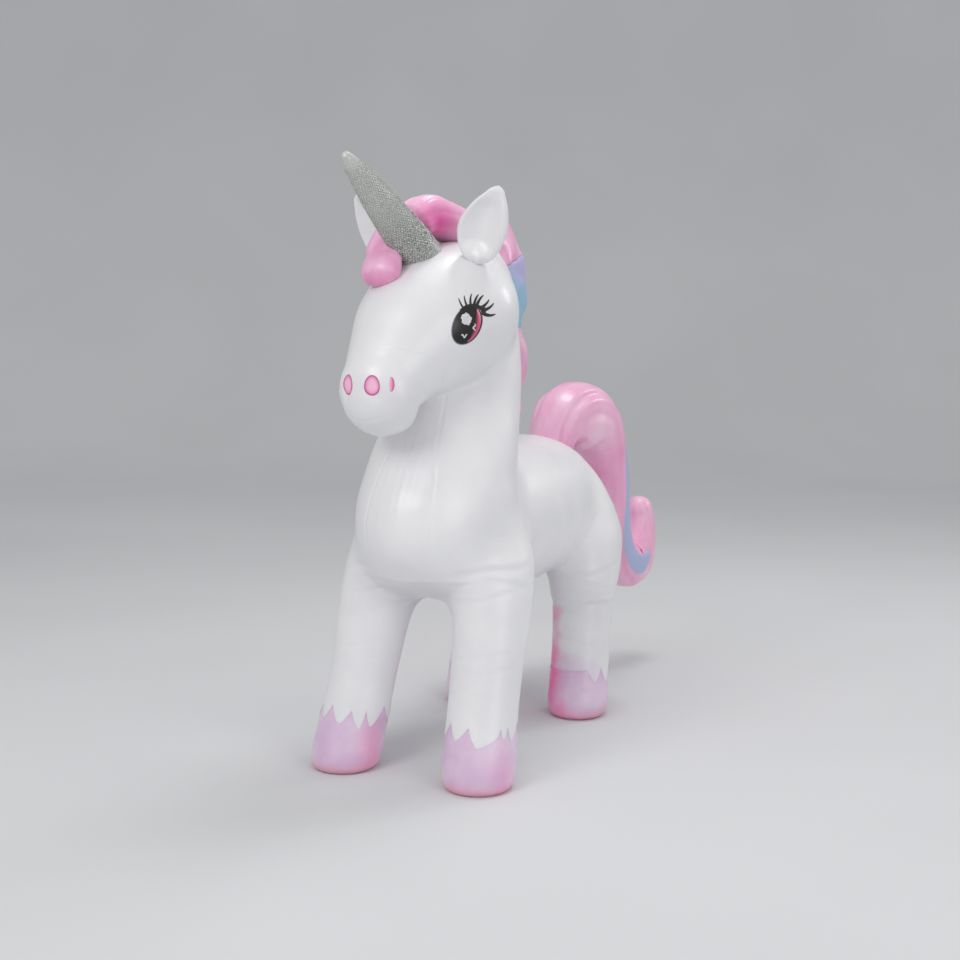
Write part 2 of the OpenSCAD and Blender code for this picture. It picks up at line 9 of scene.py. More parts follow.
import bpy
import numpy as np
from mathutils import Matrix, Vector


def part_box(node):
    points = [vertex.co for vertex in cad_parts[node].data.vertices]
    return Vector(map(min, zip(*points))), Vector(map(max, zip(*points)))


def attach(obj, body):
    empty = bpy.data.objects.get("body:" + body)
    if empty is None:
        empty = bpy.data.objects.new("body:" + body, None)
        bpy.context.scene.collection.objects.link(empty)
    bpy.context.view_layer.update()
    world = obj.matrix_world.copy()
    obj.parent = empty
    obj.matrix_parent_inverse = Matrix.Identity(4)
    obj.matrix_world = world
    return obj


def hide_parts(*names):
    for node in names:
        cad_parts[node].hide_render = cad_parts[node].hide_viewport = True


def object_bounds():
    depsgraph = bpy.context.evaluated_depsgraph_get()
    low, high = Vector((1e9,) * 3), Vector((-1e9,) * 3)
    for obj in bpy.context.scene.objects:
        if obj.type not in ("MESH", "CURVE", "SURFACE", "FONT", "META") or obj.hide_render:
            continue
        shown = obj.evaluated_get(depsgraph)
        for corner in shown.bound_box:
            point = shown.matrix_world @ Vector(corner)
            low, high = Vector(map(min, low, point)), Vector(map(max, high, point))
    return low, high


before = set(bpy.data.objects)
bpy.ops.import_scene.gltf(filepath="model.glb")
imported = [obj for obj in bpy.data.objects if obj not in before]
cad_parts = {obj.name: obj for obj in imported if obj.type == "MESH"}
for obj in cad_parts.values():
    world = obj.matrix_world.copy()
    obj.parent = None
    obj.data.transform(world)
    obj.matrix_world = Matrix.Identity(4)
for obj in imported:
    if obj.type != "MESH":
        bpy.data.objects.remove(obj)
cad_low, cad_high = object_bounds()

FRONT_HOOF_Y = -0.334
REAR_HOOF_Y = 0.330
HEAD_TURN = np.radians(-9)
NECK_AXIS = np.array([0, -0.100, 0])
GRID_STEP = 0.006


def centre_of(node):
    low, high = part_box(node)
    return np.array((low + high) / 2)


HOME = np.array([0, centre_of("front_left_sole")[1] - FRONT_HOOF_Y, 0])


# ---- Numbers and curves ------------------------------------------------------------------

def unit(v):
    v = np.asarray(v, float)
    return v / np.maximum(np.linalg.norm(v, axis=-1, keepdims=True), 1e-12)


def ease(low, high, x):
    t = np.clip((x - low) / (high - low), 0, 1)
    return t * t * (3 - 2 * t)


def bump_at(x, centre, width):
    return np.exp(-((x - centre) / width) ** 2)


def turned(p, angle=HEAD_TURN, about=NECK_AXIS):
    """Points turned about a vertical axis."""
    p = np.asarray(p, float) - about
    c, s = np.cos(angle), np.sin(angle)
    return np.stack([p[..., 0] * c - p[..., 1] * s, p[..., 0] * s + p[..., 1] * c, p[..., 2]], -1) + about


def turned_way(way, angle=HEAD_TURN):
    """A direction turned with the head."""
    return turned(way + NECK_AXIS, angle) - NECK_AXIS


def smooth_rows(rows, places, at=None):
    """Rows of numbers interpolated by a smooth curve through them; at gives each row's place."""
    rows = np.array(rows, float)
    x = np.arange(len(rows), dtype=float) if at is None else np.array(at, float)
    slope = np.gradient(rows, x, axis=0)
    places = np.asarray(places, float)
    i = np.clip(np.searchsorted(x, places, side="right") - 1, 0, len(x) - 2)
    h = (x[i + 1] - x[i])[:, None]
    t = ((places - x[i]) / h[:, 0])[:, None]
    t2, t3 = t * t, t * t * t
    return ((2 * t3 - 3 * t2 + 1) * rows[i] + (t3 - 2 * t2 + t) * h * slope[i]
            + (3 * t2 - 2 * t3) * rows[i + 1] + (t3 - t2) * h * slope[i + 1])


def ripple(p, seed, scale):
    """Smooth uneven values from -1 to 1 that depend on place alone."""
    rng = np.random.default_rng(seed)
    total = 0
    for _ in range(5):
        way = unit(rng.normal(size=3)) / scale * rng.uniform(0.6, 1.5)
        total = total + np.sin(p @ way + rng.uniform(0, 6.28))
    return total / 5


# ---- The skin as a field -----------------------------------------------------------------

class Tube:
    """A tube along a straight axis. Its rows hold: place along the axis, offset across,
    offset in depth, half width, half depth. It closes in a rounded tip at both ends."""

    samples = 400

    def __init__(self, origin, along, across, rows, tips, blunt=None):
        self.origin = np.asarray(origin, float)
        self.along, self.across = unit(along), unit(across)
        self.depth = np.cross(self.along, self.across)
        rows = np.array(rows, float)
        self.a = np.linspace(tips[0], tips[1], self.samples)
        inside = smooth_rows(rows, np.clip(self.a, rows[0, 0], rows[-1, 0]), rows[:, 0])
        area = inside[:, 3] * inside[:, 4]
        if blunt:
            v = (self.a - (tips[0] + tips[1]) / 2) / ((tips[1] - tips[0]) / 2)
            area = area * (1 - np.abs(v) ** np.where(v < 0, *blunt))
        else:
            for end, tip in ((0, tips[0]), (-1, tips[1])):
                past = (self.a < rows[0, 0]) if end == 0 else (self.a > rows[-1, 0])
                reach = (self.a - tip) / (rows[end, 0] - tip)
                area = np.where(past, area * reach, area)
        self.tips = tips
        self.table = np.stack([inside[:, 1], inside[:, 2], area, inside[:, 3] / inside[:, 4]], 1)
        self.slope = np.gradient(self.table, self.a, axis=0)

    def __call__(self, p):
        """Signed distance, near the surface, of points p."""
        q = p - self.origin
        a, u, v = q @ self.along, q @ self.across, q @ self.depth
        held = np.clip(a, *self.tips)
        cu, cv, area, aspect = (np.interp(held, self.a, self.table[:, i]) for i in range(4))
        su, sv, sarea, _ = (np.interp(held, self.a, self.slope[:, i]) for i in range(4))
        area = area + (a - held) * sarea
        du, dv = u - cu, v - cv
        f = du * du / aspect + dv * dv * aspect - area
        gu, gv = 2 * du / aspect, 2 * dv * aspect
        ga = -gu * su - gv * sv - sarea
        return f / np.maximum(np.sqrt(gu * gu + gv * gv + ga * ga), 1e-3)


def smooth_min(a, b, k):
    h = np.maximum(k - np.abs(a - b), 0)
    return np.minimum(a, b) - h * h / (4 * k)


X, Y, Z = np.eye(3)
TORSO = Tube((0, 0, 0), Y, -X, [
    (-0.395, 0, 0.580, 0.172, 0.152), (-0.250, 0, 0.584, 0.184, 0.162),
    (-0.100, 0, 0.574, 0.188, 0.184), (0.050, 0, 0.568, 0.190, 0.198),
    (0.200, 0, 0.570, 0.190, 0.200), (0.400, 0, 0.580, 0.196, 0.192),
    (0.632, 0, 0.576, 0.192, 0.188)], (-0.395, 0.632), blunt=(3.8, 3.3))
NECK = Tube((0, 0, 0), Z, X, [
    (0.475, 0, -0.214, 0.150, 0.138), (0.520, 0, -0.215, 0.168, 0.162),
    (0.575, 0, -0.212, 0.180, 0.182),
    (0.645, 0, -0.196, 0.187, 0.191), (0.720, 0, -0.164, 0.182, 0.188),
    (0.800, 0, -0.125, 0.170, 0.175), (0.880, 0, -0.084, 0.156, 0.166),
    (0.960, 0, -0.058, 0.148, 0.152), (1.050, 0, -0.044, 0.136, 0.138),
    (1.130, 0, -0.040, 0.126, 0.126), (1.200, 0, -0.036, 0.108, 0.104),
    (1.250, 0, -0.032, 0.076, 0.076)], (0.415, 1.292))
HEAD_WAY = np.array([0, -0.7564, -0.6542])
HEAD = Tube(turned((0, -0.002, 1.217)), turned_way(HEAD_WAY),
            turned_way(X), [
    (0.000, 0, 0.000, 0.062, 0.056), (0.055, 0, -0.010, 0.128, 0.118),
    (0.132, 0, -0.015, 0.170, 0.164), (0.220, 0, -0.004, 0.179, 0.174),
    (0.308, 0, 0.012, 0.165, 0.158), (0.393, 0, 0.026, 0.129, 0.118),
    (0.467, 0, 0.025, 0.103, 0.094), (0.524, 0, 0.008, 0.094, 0.088),
    (0.556, 0, 0.002, 0.066, 0.062)], (-0.014, 0.578))
FLOOR_ROUND = 0.004


def leg_tube(foot, rows, tips):
    return Tube((foot[0], foot[1], 0), Z, X, rows, tips)


def front_leg(side):
    s = side
    return leg_tube((s * 0.180, FRONT_HOOF_Y), [
        (0.000, 0, 0.000, 0.070, 0.070), (0.008, -s * 0.001, 0.002, 0.079, 0.079),
        (0.026, -s * 0.002, 0.006, 0.084, 0.084), (0.080, -s * 0.005, 0.022, 0.0850, 0.0850),
        (0.180, -s * 0.012, 0.056, 0.083, 0.083), (0.280, -s * 0.017, 0.090, 0.086, 0.086),
        (0.362, -s * 0.022, 0.117, 0.092, 0.094), (0.440, -s * 0.032, 0.140, 0.100, 0.104),
        (0.510, -s * 0.046, 0.158, 0.102, 0.106), (0.570, -s * 0.062, 0.168, 0.086, 0.090)],
        (-0.030, 0.660))


def rear_leg(side):
    s = side
    return leg_tube((s * 0.160, REAR_HOOF_Y), [
        (0.000, 0, 0.000, 0.066, 0.066), (0.008, -s * 0.001, 0.001, 0.075, 0.075),
        (0.026, -s * 0.001, 0.005, 0.081, 0.081), (0.080, -s * 0.003, 0.018, 0.0825, 0.0825),
        (0.180, -s * 0.008, 0.042, 0.080, 0.080), (0.260, -s * 0.012, 0.060, 0.081, 0.082),
        (0.340, -s * 0.016, 0.074, 0.084, 0.086)], (-0.030, 0.440))


def thigh(side):
    s = side
    return leg_tube((s * 0.160, REAR_HOOF_Y), [
        (0.318, -s * 0.014, 0.071, 0.087, 0.088), (0.352, -s * 0.016, 0.078, 0.094, 0.098),
        (0.420, -s * 0.020, 0.096, 0.101, 0.113), (0.490, -s * 0.030, 0.118, 0.103, 0.124),
        (0.560, -s * 0.046, 0.132, 0.092, 0.106)], (0.292, 0.650))


SIDES = {"left": 1, "right": -1}
FRONT_LEGS = {n: front_leg(s) for n, s in SIDES.items()}
REAR_LEGS = {n: rear_leg(s) for n, s in SIDES.items()}
THIGHS = {n: thigh(s) for n, s in SIDES.items()}


def trunk(p):
    return smooth_min(TORSO(p), NECK(p), 0.050)


def skin(p):
    """Signed distance of the white skin."""
    d = trunk(p)
    d = smooth_min(d, HEAD(p), 0.016)
    for name in SIDES:
        d = smooth_min(d, FRONT_LEGS[name](p), 0.060)
        d = smooth_min(d, smooth_min(THIGHS[name](p), REAR_LEGS[name](p), 0.008), 0.044)
    return -smooth_min(-d, p[:, 2], FLOOR_ROUND)


def in_chunks(field, p, size=300000):
    return np.concatenate([field(p[i:i + size]) for i in range(0, len(p), size)])


def slope_of(field, p, h=0.0005):
    """Gradient of a field at points p."""
    return np.stack([(in_chunks(field, p + h * e) - in_chunks(field, p - h * e)) / (2 * h)
                     for e in (X, Y, Z)], 1)


def settled(field, p, rounds=2):
    """Points moved on to the field's surface."""
    for _ in range(rounds):
        g = slope_of(field, p)
        p = p - (in_chunks(field, p) / np.maximum((g * g).sum(1), 1e-6))[:, None] * g
    return p


def sampled(field, low, high, step, block=6):
    """The field on a grid, worked out in full only near its surface."""
    low = np.asarray(low, float)
    count = (np.ceil((np.asarray(high) - low) / step / block) * block).astype(int)
    coarse = [low[i] + step * (np.arange(count[i] // block) + 0.5) * block for i in range(3)]
    mid = np.stack(np.meshgrid(*coarse, indexing="ij"), -1).reshape(-1, 3)
    rough = in_chunks(field, mid).reshape([count[i] // block for i in range(3)])
    near = np.abs(rough) < block * step * 1.5
    index = [np.minimum(np.arange(count[i] + 1) // block, count[i] // block - 1) for i in range(3)]
    grid = np.sign(rough[np.ix_(*index)]).astype(np.float32)
    active = near[np.ix_(*index)]
    where = np.argwhere(active)
    grid[active] = in_chunks(field, low + where * step)
    return grid


def net(grid, low, step):
    """Triangles round the zero surface of a grid: one point in each crossed cell."""
    inside = grid < 0
    cells = [s - 1 for s in grid.shape]
    corners = [(i, j, k) for i in (0, 1) for j in (0, 1) for k in (0, 1)]

    def part(c):
        return tuple(slice(c[n], c[n] + cells[n]) for n in range(3))

    total = sum(inside[part(c)].astype(np.int8) for c in corners)
    where = np.argwhere((total > 0) & (total < 8))
    value = {c: grid[tuple((where + c).T)] for c in corners}
    spot, hits = np.zeros((len(where), 3)), np.zeros(len(where))
    for c in corners:
        for n in range(3):
            if c[n]:
                continue
            d = tuple(c[m] + (m == n) for m in range(3))
            a, b = value[c], value[d]
            cross = (a < 0) != (b < 0)
            t = np.where(cross, a / np.where(cross, a - b, 1), 0)
            place = np.tile(np.array(c, float), (len(where), 1))
            place[:, n] += t
            spot += np.where(cross[:, None], place, 0)
            hits += cross
    points = low + (where + spot / hits[:, None]) * step
    number = -np.ones(cells, int)
    number[tuple(where.T)] = np.arange(len(where))
    quads = []
    for n in range(3):
        a, b = (n + 1) % 3, (n + 2) % 3
        one, two = [slice(None)] * 3, [slice(None)] * 3
        one[n], two[n] = slice(0, -1), slice(1, None)
        first, second = inside[tuple(one)], inside[tuple(two)]
        for starts in (True, False):
            e = np.argwhere((first != second) & (first == starts))
            e = e[(e[:, a] > 0) & (e[:, b] > 0) & (e[:, a] < cells[a]) & (e[:, b] < cells[b])]
            ring = []
            for da, db in ((0, 0), (-1, 0), (-1, -1), (0, -1)):
                c = e.copy()
                c[:, a] += da
                c[:, b] += db
                ring.append(number[tuple(c.T)])
            quads.append(np.stack(ring if starts else ring[::-1], 1))
    quads = np.concatenate(quads)
    p = points[quads]
    short = (np.linalg.norm(p[:, 0] - p[:, 2], axis=1) < np.linalg.norm(p[:, 1] - p[:, 3], axis=1))[:, None]
    return points, np.concatenate([np.where(short, quads[:, [0, 1, 2]], quads[:, [0, 1, 3]]),
                                   np.where(short, quads[:, [0, 2, 3]], quads[:, [1, 2, 3]])])


def cut(points, faces, level_of, level=0.0, snap=0.0006):
    """The mesh with its triangles split where level_of(points) passes level."""
    s = level_of(points) - level
    side = np.where(np.abs(s) < snap, 0, np.sign(s)).astype(int)
    edges = np.sort(faces[:, [[0, 1], [1, 2], [2, 0]]], axis=2)
    crossed = side[edges[..., 0]] * side[edges[..., 1]] < 0
    count = crossed.sum(1)
    if not count.any():
        return points, faces
    keys = edges[..., 0].astype(np.int64) * len(points) + edges[..., 1]
    wanted, back = np.unique(keys[crossed], return_inverse=True)
    i, j = wanted // len(points), wanted % len(points)
    t = (s[i] / (s[i] - s[j]))[:, None]
    new = np.full(crossed.shape, -1)
    new[crossed] = len(points) + back
    out = [faces[count == 0]]
    for lead in range(3):
        f, n = np.roll(faces, -lead, 1), np.roll(new, -lead, 1)
        c = np.roll(crossed, -lead, 1)
        one = (count == 1) & c[:, 0]
        out += [np.stack([f[one, 0], n[one, 0], f[one, 2]], 1),
                np.stack([n[one, 0], f[one, 1], f[one, 2]], 1)]
        two = (count == 2) & c[:, 0] & c[:, 2]
        out += [np.stack([f[two, 0], n[two, 0], n[two, 2]], 1),
                np.stack([n[two, 0], f[two, 1], f[two, 2]], 1),
                np.stack([n[two, 0], f[two, 2], n[two, 2]], 1)]
    return np.concatenate([points, points[i] + t * (points[j] - points[i])]), np.concatenate(out)


def vertex_normals(points, faces):
    p = points[faces]
    n = np.cross(p[:, 1] - p[:, 0], p[:, 2] - p[:, 0])
    total = np.zeros_like(points)
    for i in range(3):
        for k in range(3):
            total[:, k] += np.bincount(faces[:, i], n[:, k], len(points))
    return unit(total)


# ---- Seams and regions -------------------------------------------------------------------

MUZZLE_FROM = 0.405
LEG_TOP = 0.62
GUSSET = [(0.300, 0.010), (0.400, 0.040), (0.500, 0.078), (0.600, 0.088), (0.700, 0.076),
          (0.800, 0.056), (0.900, 0.046), (1.100, 0.046)]
# Torn edge of the white film over each hoof: angle round the leg and height, from valley to
# peak in turn
TEETH = {
    "front_right": [(-150, .118), (-128, .150), (-104, .112), (-82, .154), (-60, .120), (-46, .150),
                    (-31, .124), (-14, .158), (5, .119), (22, .150), (39, .108), (46, .148), (57, .110),
                    (80, .154), (102, .114), (124, .149), (150, .110), (172, .152)],
    "front_left": [(-152, .112), (-126, .150), (-100, .114), (-78, .148), (-56, .118), (-33, .153),
                   (-18, .118), (3, .150), (19, .108), (50, .128), (55, .146), (61, .120), (69, .147),
                   (78, .113), (98, .152), (124, .112), (148, .150), (172, .116)],
    "rear_left": [(-150, .112), (-118, .140), (-86, .116), (-50, .134), (-18, .130), (36, .134),
                  (54, .101), (67, .138), (82, .099), (100, .140), (122, .104), (140, .136), (160, .106),
                  (176, .134)],
}
TEETH["rear_right"] = [(-a, z) for a, z in TEETH["rear_left"]][::-1]


def head_frame(p):
    q = p - HEAD.origin
    return q @ HEAD.along, q @ HEAD.across, q @ HEAD.depth


def muzzle_line(p):
    """Above 0 in front of the curved seam on the cheek."""
    a, _, v = head_frame(p)
    return a - MUZZLE_FROM - 0.05 * (v / 0.12) ** 2


def head_line(p):
    return HEAD(p) - trunk(p)


def neck_line(p):
    return NECK(p) - TORSO(p)


def front_line(p, name):
    here = (p[:, 0] * SIDES[name] > 0) & (p[:, 1] < 0)
    return np.where(here, FRONT_LEGS[name](p) - trunk(p), 1)


def rear_line(p, name):
    here = (p[:, 0] * SIDES[name] > 0) & (p[:, 1] > 0)
    return np.where(here, np.minimum(THIGHS[name](p), REAR_LEGS[name](p)) - trunk(p), 1)


def gusset_line(p):
    """Below 0 on the shield-shaped panel down the chest."""
    half = np.interp(p[:, 2], *np.array(GUSSET).T)
    axis = np.interp(p[:, 2], [0.6, 1.0], [-0.20, -0.06])
    return np.maximum(np.maximum(np.abs(p[:, 0]) - half, p[:, 1] - axis), 0.33 - p[:, 2])


def leg_centre(z, foot, lean):
    return foot[0] * (1 - lean[0] * z / abs(foot[0])), foot[1] + lean[1] * z


FEET = {("front", n): ((s * 0.180, FRONT_HOOF_Y), (0.067, 0.31)) for n, s in SIDES.items()}
FEET.update({("rear", n): ((s * 0.160, REAR_HOOF_Y), (0.046, 0.232)) for n, s in SIDES.items()})


def leg_angle(p, leg):
    """Angle round a leg: 0 in front, growing to the animal's left."""
    x, y = leg_centre(p[:, 2], *FEET[leg])
    return np.arctan2(p[:, 0] - x, y - p[:, 1])


def hoof_line(p, leg):
    """Below 0 on the hoof: height under the torn edge of the white film."""
    rows = np.array(TEETH["_".join(leg)])
    rows = np.concatenate([rows - (360, 0), rows, rows + (360, 0)])
    angle = np.degrees(leg_angle(p, leg))
    i = np.clip(np.searchsorted(rows[:, 0], angle) - 1, 0, len(rows) - 2)
    t = (angle - rows[i, 0]) / (rows[i + 1, 0] - rows[i, 0])
    rises = rows[i + 1, 1] > rows[i, 1]
    t = np.where(rises, t ** 1.5, 1 - (1 - t) ** 1.5)
    return p[:, 2] - (rows[i, 1] * (1 - t) + rows[i + 1, 1] * t)


def near_foot(p, leg):
    x, y = leg_centre(p[:, 2], *FEET[leg])
    return (np.hypot(p[:, 0] - x, p[:, 1] - y) < 0.13) & (p[:, 2] < 0.24)


def sole_line(p, leg):
    (x, y), _ = FEET[leg]
    return np.hypot(p[:, 0] - x, p[:, 1] - y) - (0.060 if leg[0] == "front" else 0.056)


# ---- Relief of the skin ------------------------------------------------------------------

def seam(s, depth, width=0.0032):
    """A weld seam: a narrow groove between two low ridges."""
    return depth * (0.35 * bump_at(np.abs(s), 2.2 * width, width) - bump_at(s, 0, width))


def leg_bands(p, leg, bands):
    """Soft folds round a leg: height, tilt, angle where strongest, spread, depth, width."""
    angle = leg_angle(p, leg)
    total = 0
    for z, tilt, at, spread, depth, width in bands:
        turn = np.abs(around(angle - at))
        line = z + tilt * np.sin(angle - at) + 0.006 * np.sin(3 * angle + 40 * z)
        d = p[:, 2] - line
        fold = 0.5 * bump_at(d, 1.6 * width, width) - bump_at(d, 0, width)
        total = total + depth * ease(spread, 0, turn) * fold
    return total


FRONT_BANDS = [(0.494, 0.015, 0.5, 1.9, 0.0024, 0.009), (0.464, -0.010, 0.6, 1.6, 0.0020, 0.008),
               (0.434, 0.012, 0.3, 1.5, 0.0014, 0.007), (0.404, 0.010, -1.2, 1.3, 0.0012, 0.006),
               (0.300, 0.006, 0.2, 2.6, 0.0006, 0.006), (0.268, -0.006, 0.6, 2.0, 0.0005, 0.006),
               (0.214, 0.005, -0.6, 2.0, 0.0005, 0.005)]
REAR_BANDS = [(0.300, 0.006, 0.5, 3.2, 0.0040, 0.008), (0.392, 0.02, 0.4, 2.0, 0.0018, 0.008),
              (0.358, -0.015, 1.0, 1.6, 0.0016, 0.007), (0.240, 0.006, 0.4, 2.4, 0.0006, 0.006),
              (0.204, -0.005, 0.0, 1.8, 0.0005, 0.005)]


def root_folds(p, line, name, centre, gather):
    """Folds that fan out from the tight inner corner where a leg meets the belly."""
    inner = np.clip(-SIDES[name] * (p[:, 0] - centre[0]) / 0.08, 0, 1)
    angle = np.arctan2(p[:, 1] - centre[1], p[:, 2] - 0.42)
    return gather * inner * bump_at(line, 0.004, 0.030) * np.sin(11 * angle + 2 * np.sin(3 * angle))


def relief(p):
    """How far each point of the skin stands out from the smooth field."""
    out = 0.0012 * ripple(p, 3, 0.050) + 0.0005 * ripple(p, 8, 0.022)
    head = head_line(p)
    on_trunk = ease(0.0, 0.01, head)
    out = out + seam(gusset_line(p), 0.0010) * on_trunk * ease(0.46, 0.60, p[:, 2])
    a, u, v = head_frame(p)
    on_head = ease(0.0, -0.01, head)
    cheek = on_head * ease(0.02, 0.08, np.abs(u))
    out = out + seam(muzzle_line(p), 0.0007, 0.0028) * cheek
    out = out + seam(u, 0.0006) * on_head * ease(0.00, -0.06, v)
    for side in (-1, 1):
        hollow = np.hypot((u - side * 0.038) / 0.021, (a - 0.540) / 0.024)
        out = out - 0.0035 * ease(1.0, 0.45, hollow) * ease(0.0, 0.04, v)
    mouth = bump_at(v - 0.010 - 1.2 * u * u, 0, 0.0028) * ease(0.060, 0.030, np.abs(u)) * ease(0.54, 0.56, a)
    out = out - 0.0010 * mouth * on_head
    back = ease(-0.15, -0.05, p[:, 1]) * on_trunk
    belly = ease(0.42, 0.38, p[:, 2])
    out = out + seam(p[:, 0], 0.0014) * np.maximum(back, belly) * ease(0.30, 0.33, p[:, 2])
    drape = np.sin(p[:, 0] * 150 + 5 * np.sin(p[:, 0] * 31)) * ease(-0.10, -0.20, p[:, 1])
    out = out + 0.0004 * drape * bump_at(p[:, 2], 0.72, 0.10) * ease(0.5, 0.6, p[:, 2]) * on_trunk
    for name, side in SIDES.items():
        low = ease(0.57, 0.49, p[:, 2])
        line = front_line(p, name)
        here = low * ease(0.06, 0.0, line)
        out = out + here * leg_bands(p, ("front", name), FRONT_BANDS)
        out = out + here * root_folds(p, line, name, (side * 0.145, -0.185), 0.0012)
        out = out - 0.0016 * bump_at(line, 0.0, 0.014) * low * ease(0.54, 0.46, p[:, 2])
        line = rear_line(p, name)
        here = low * ease(0.06, 0.0, line)
        out = out + here * leg_bands(p, ("rear", name), REAR_BANDS)
        out = out + here * root_folds(p, line, name, (side * 0.140, 0.430), 0.0014)
        out = out - 0.0045 * bump_at(line, 0.0, 0.012) * ease(0.58, 0.49, p[:, 2])
    shoulder = bump_at(neck_line(p), 0.0, 0.016) * ease(0.52, 0.66, p[:, 2]) * on_trunk
    out = out - 0.0030 * shoulder
    return out * ease(0.0, 0.03, p[:, 2])


# ---- Making pieces -----------------------------------------------------------------------

def mesh_object(name, points, faces, materials, normals=None, slots=None, at_home=True):
    """A mesh object from arrays; faces are rows of corners, all triangles or all quads."""
    faces = np.asarray(faces, np.int32)
    mesh = bpy.data.meshes.new(name)
    mesh.vertices.add(len(points))
    mesh.vertices.foreach_set("co", (points + (HOME if at_home else 0)).astype(np.float32).ravel())
    mesh.loops.add(faces.size)
    mesh.loops.foreach_set("vertex_index", faces.ravel())
    mesh.polygons.add(len(faces))
    mesh.polygons.foreach_set("loop_start", np.arange(len(faces), dtype=np.int32) * faces.shape[1])
    mesh.update(calc_edges=True)
    mesh.polygons.foreach_set("use_smooth", np.ones(len(faces), bool))
    for m in materials if isinstance(materials, list) else [materials]:
        mesh.materials.append(m)
    if slots is not None:
        mesh.polygons.foreach_set("material_index", np.asarray(slots, np.int32))
    if normals is not None:
        mesh.normals_split_custom_set_from_vertices(normals.astype(np.float32))
    obj = bpy.data.objects.new(name, mesh)
    bpy.context.scene.collection.objects.link(obj)
    return obj


def placed(obj, slot, *nodes, body="root"):
    """The piece rides on its body and stands for its CAD nodes."""
    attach(obj, body)
    if nodes:
        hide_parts(*nodes)
    return obj


def grid_faces(rows, columns, closed):
    """Quads of a grid of points, row by row, closed round each row or open."""
    i, j = np.meshgrid(np.arange(rows - 1), np.arange(columns if closed else columns - 1), indexing="ij")
    k = (j + 1) % columns
    return np.stack([i * columns + j, i * columns + k, (i + 1) * columns + k, (i + 1) * columns + j],
                    -1).reshape(-1, 4)


def lengths_along(line):
    """Distance along a line of points, at each of them."""
    return np.concatenate([[0], np.cumsum(np.linalg.norm(np.diff(line, axis=0), axis=1))])


def left_of(line):
    """Unit vectors square to a flat line, on its left."""
    run = unit(np.gradient(line, axis=0))
    return np.stack([-run[:, 1], run[:, 0]], 1)


def around(angle):
    """An angle brought to between half a turn back and half a turn on."""
    return (angle + np.pi) % (2 * np.pi) - np.pi


def give_values(obj, name, values):
    """A number at each point of the mesh, for its material to read."""
    data = obj.data.attributes.new(name, "FLOAT", "POINT")
    data.data.foreach_set("value", values.astype(np.float32))


def frames_along(path, hint):
    """Unit vectors across a path (near hint) and out of it."""
    along = unit(np.gradient(path, axis=0))
    across = unit(hint - (hint * along).sum(1, keepdims=True) * along)
    return across, np.cross(along, across)


# ---- Materials ---------------------------------------------------------------------------

def tint(red, green, blue):
    """A colour given as a screen shows it, from 0 to 255."""
    c = np.array([red, green, blue]) / 255
    return (*np.where(c <= 0.04045, c / 12.92, ((c + 0.055) / 1.055) ** 2.4), 1.0)


WHITE, WHITE_LOW = tint(240, 240, 242), tint(231, 231, 234)
PINK_PALE, PINK, PINK_DEEP = tint(248, 204, 228), tint(241, 178, 213), tint(230, 146, 194)
TAIL_PINK, TAIL_ROSE = tint(240, 160, 203), tint(246, 184, 217)
MAGENTA, HOT_PINK = tint(232, 84, 166), tint(255, 112, 180)
BLUE, LILAC, STRIPE_BLUE = tint(138, 192, 220), tint(188, 180, 228), tint(166, 186, 222)
LAVENDER, LAVENDER_DEEP = tint(232, 208, 231), tint(220, 188, 220)
HOOF_PINK = tint(228, 150, 172)


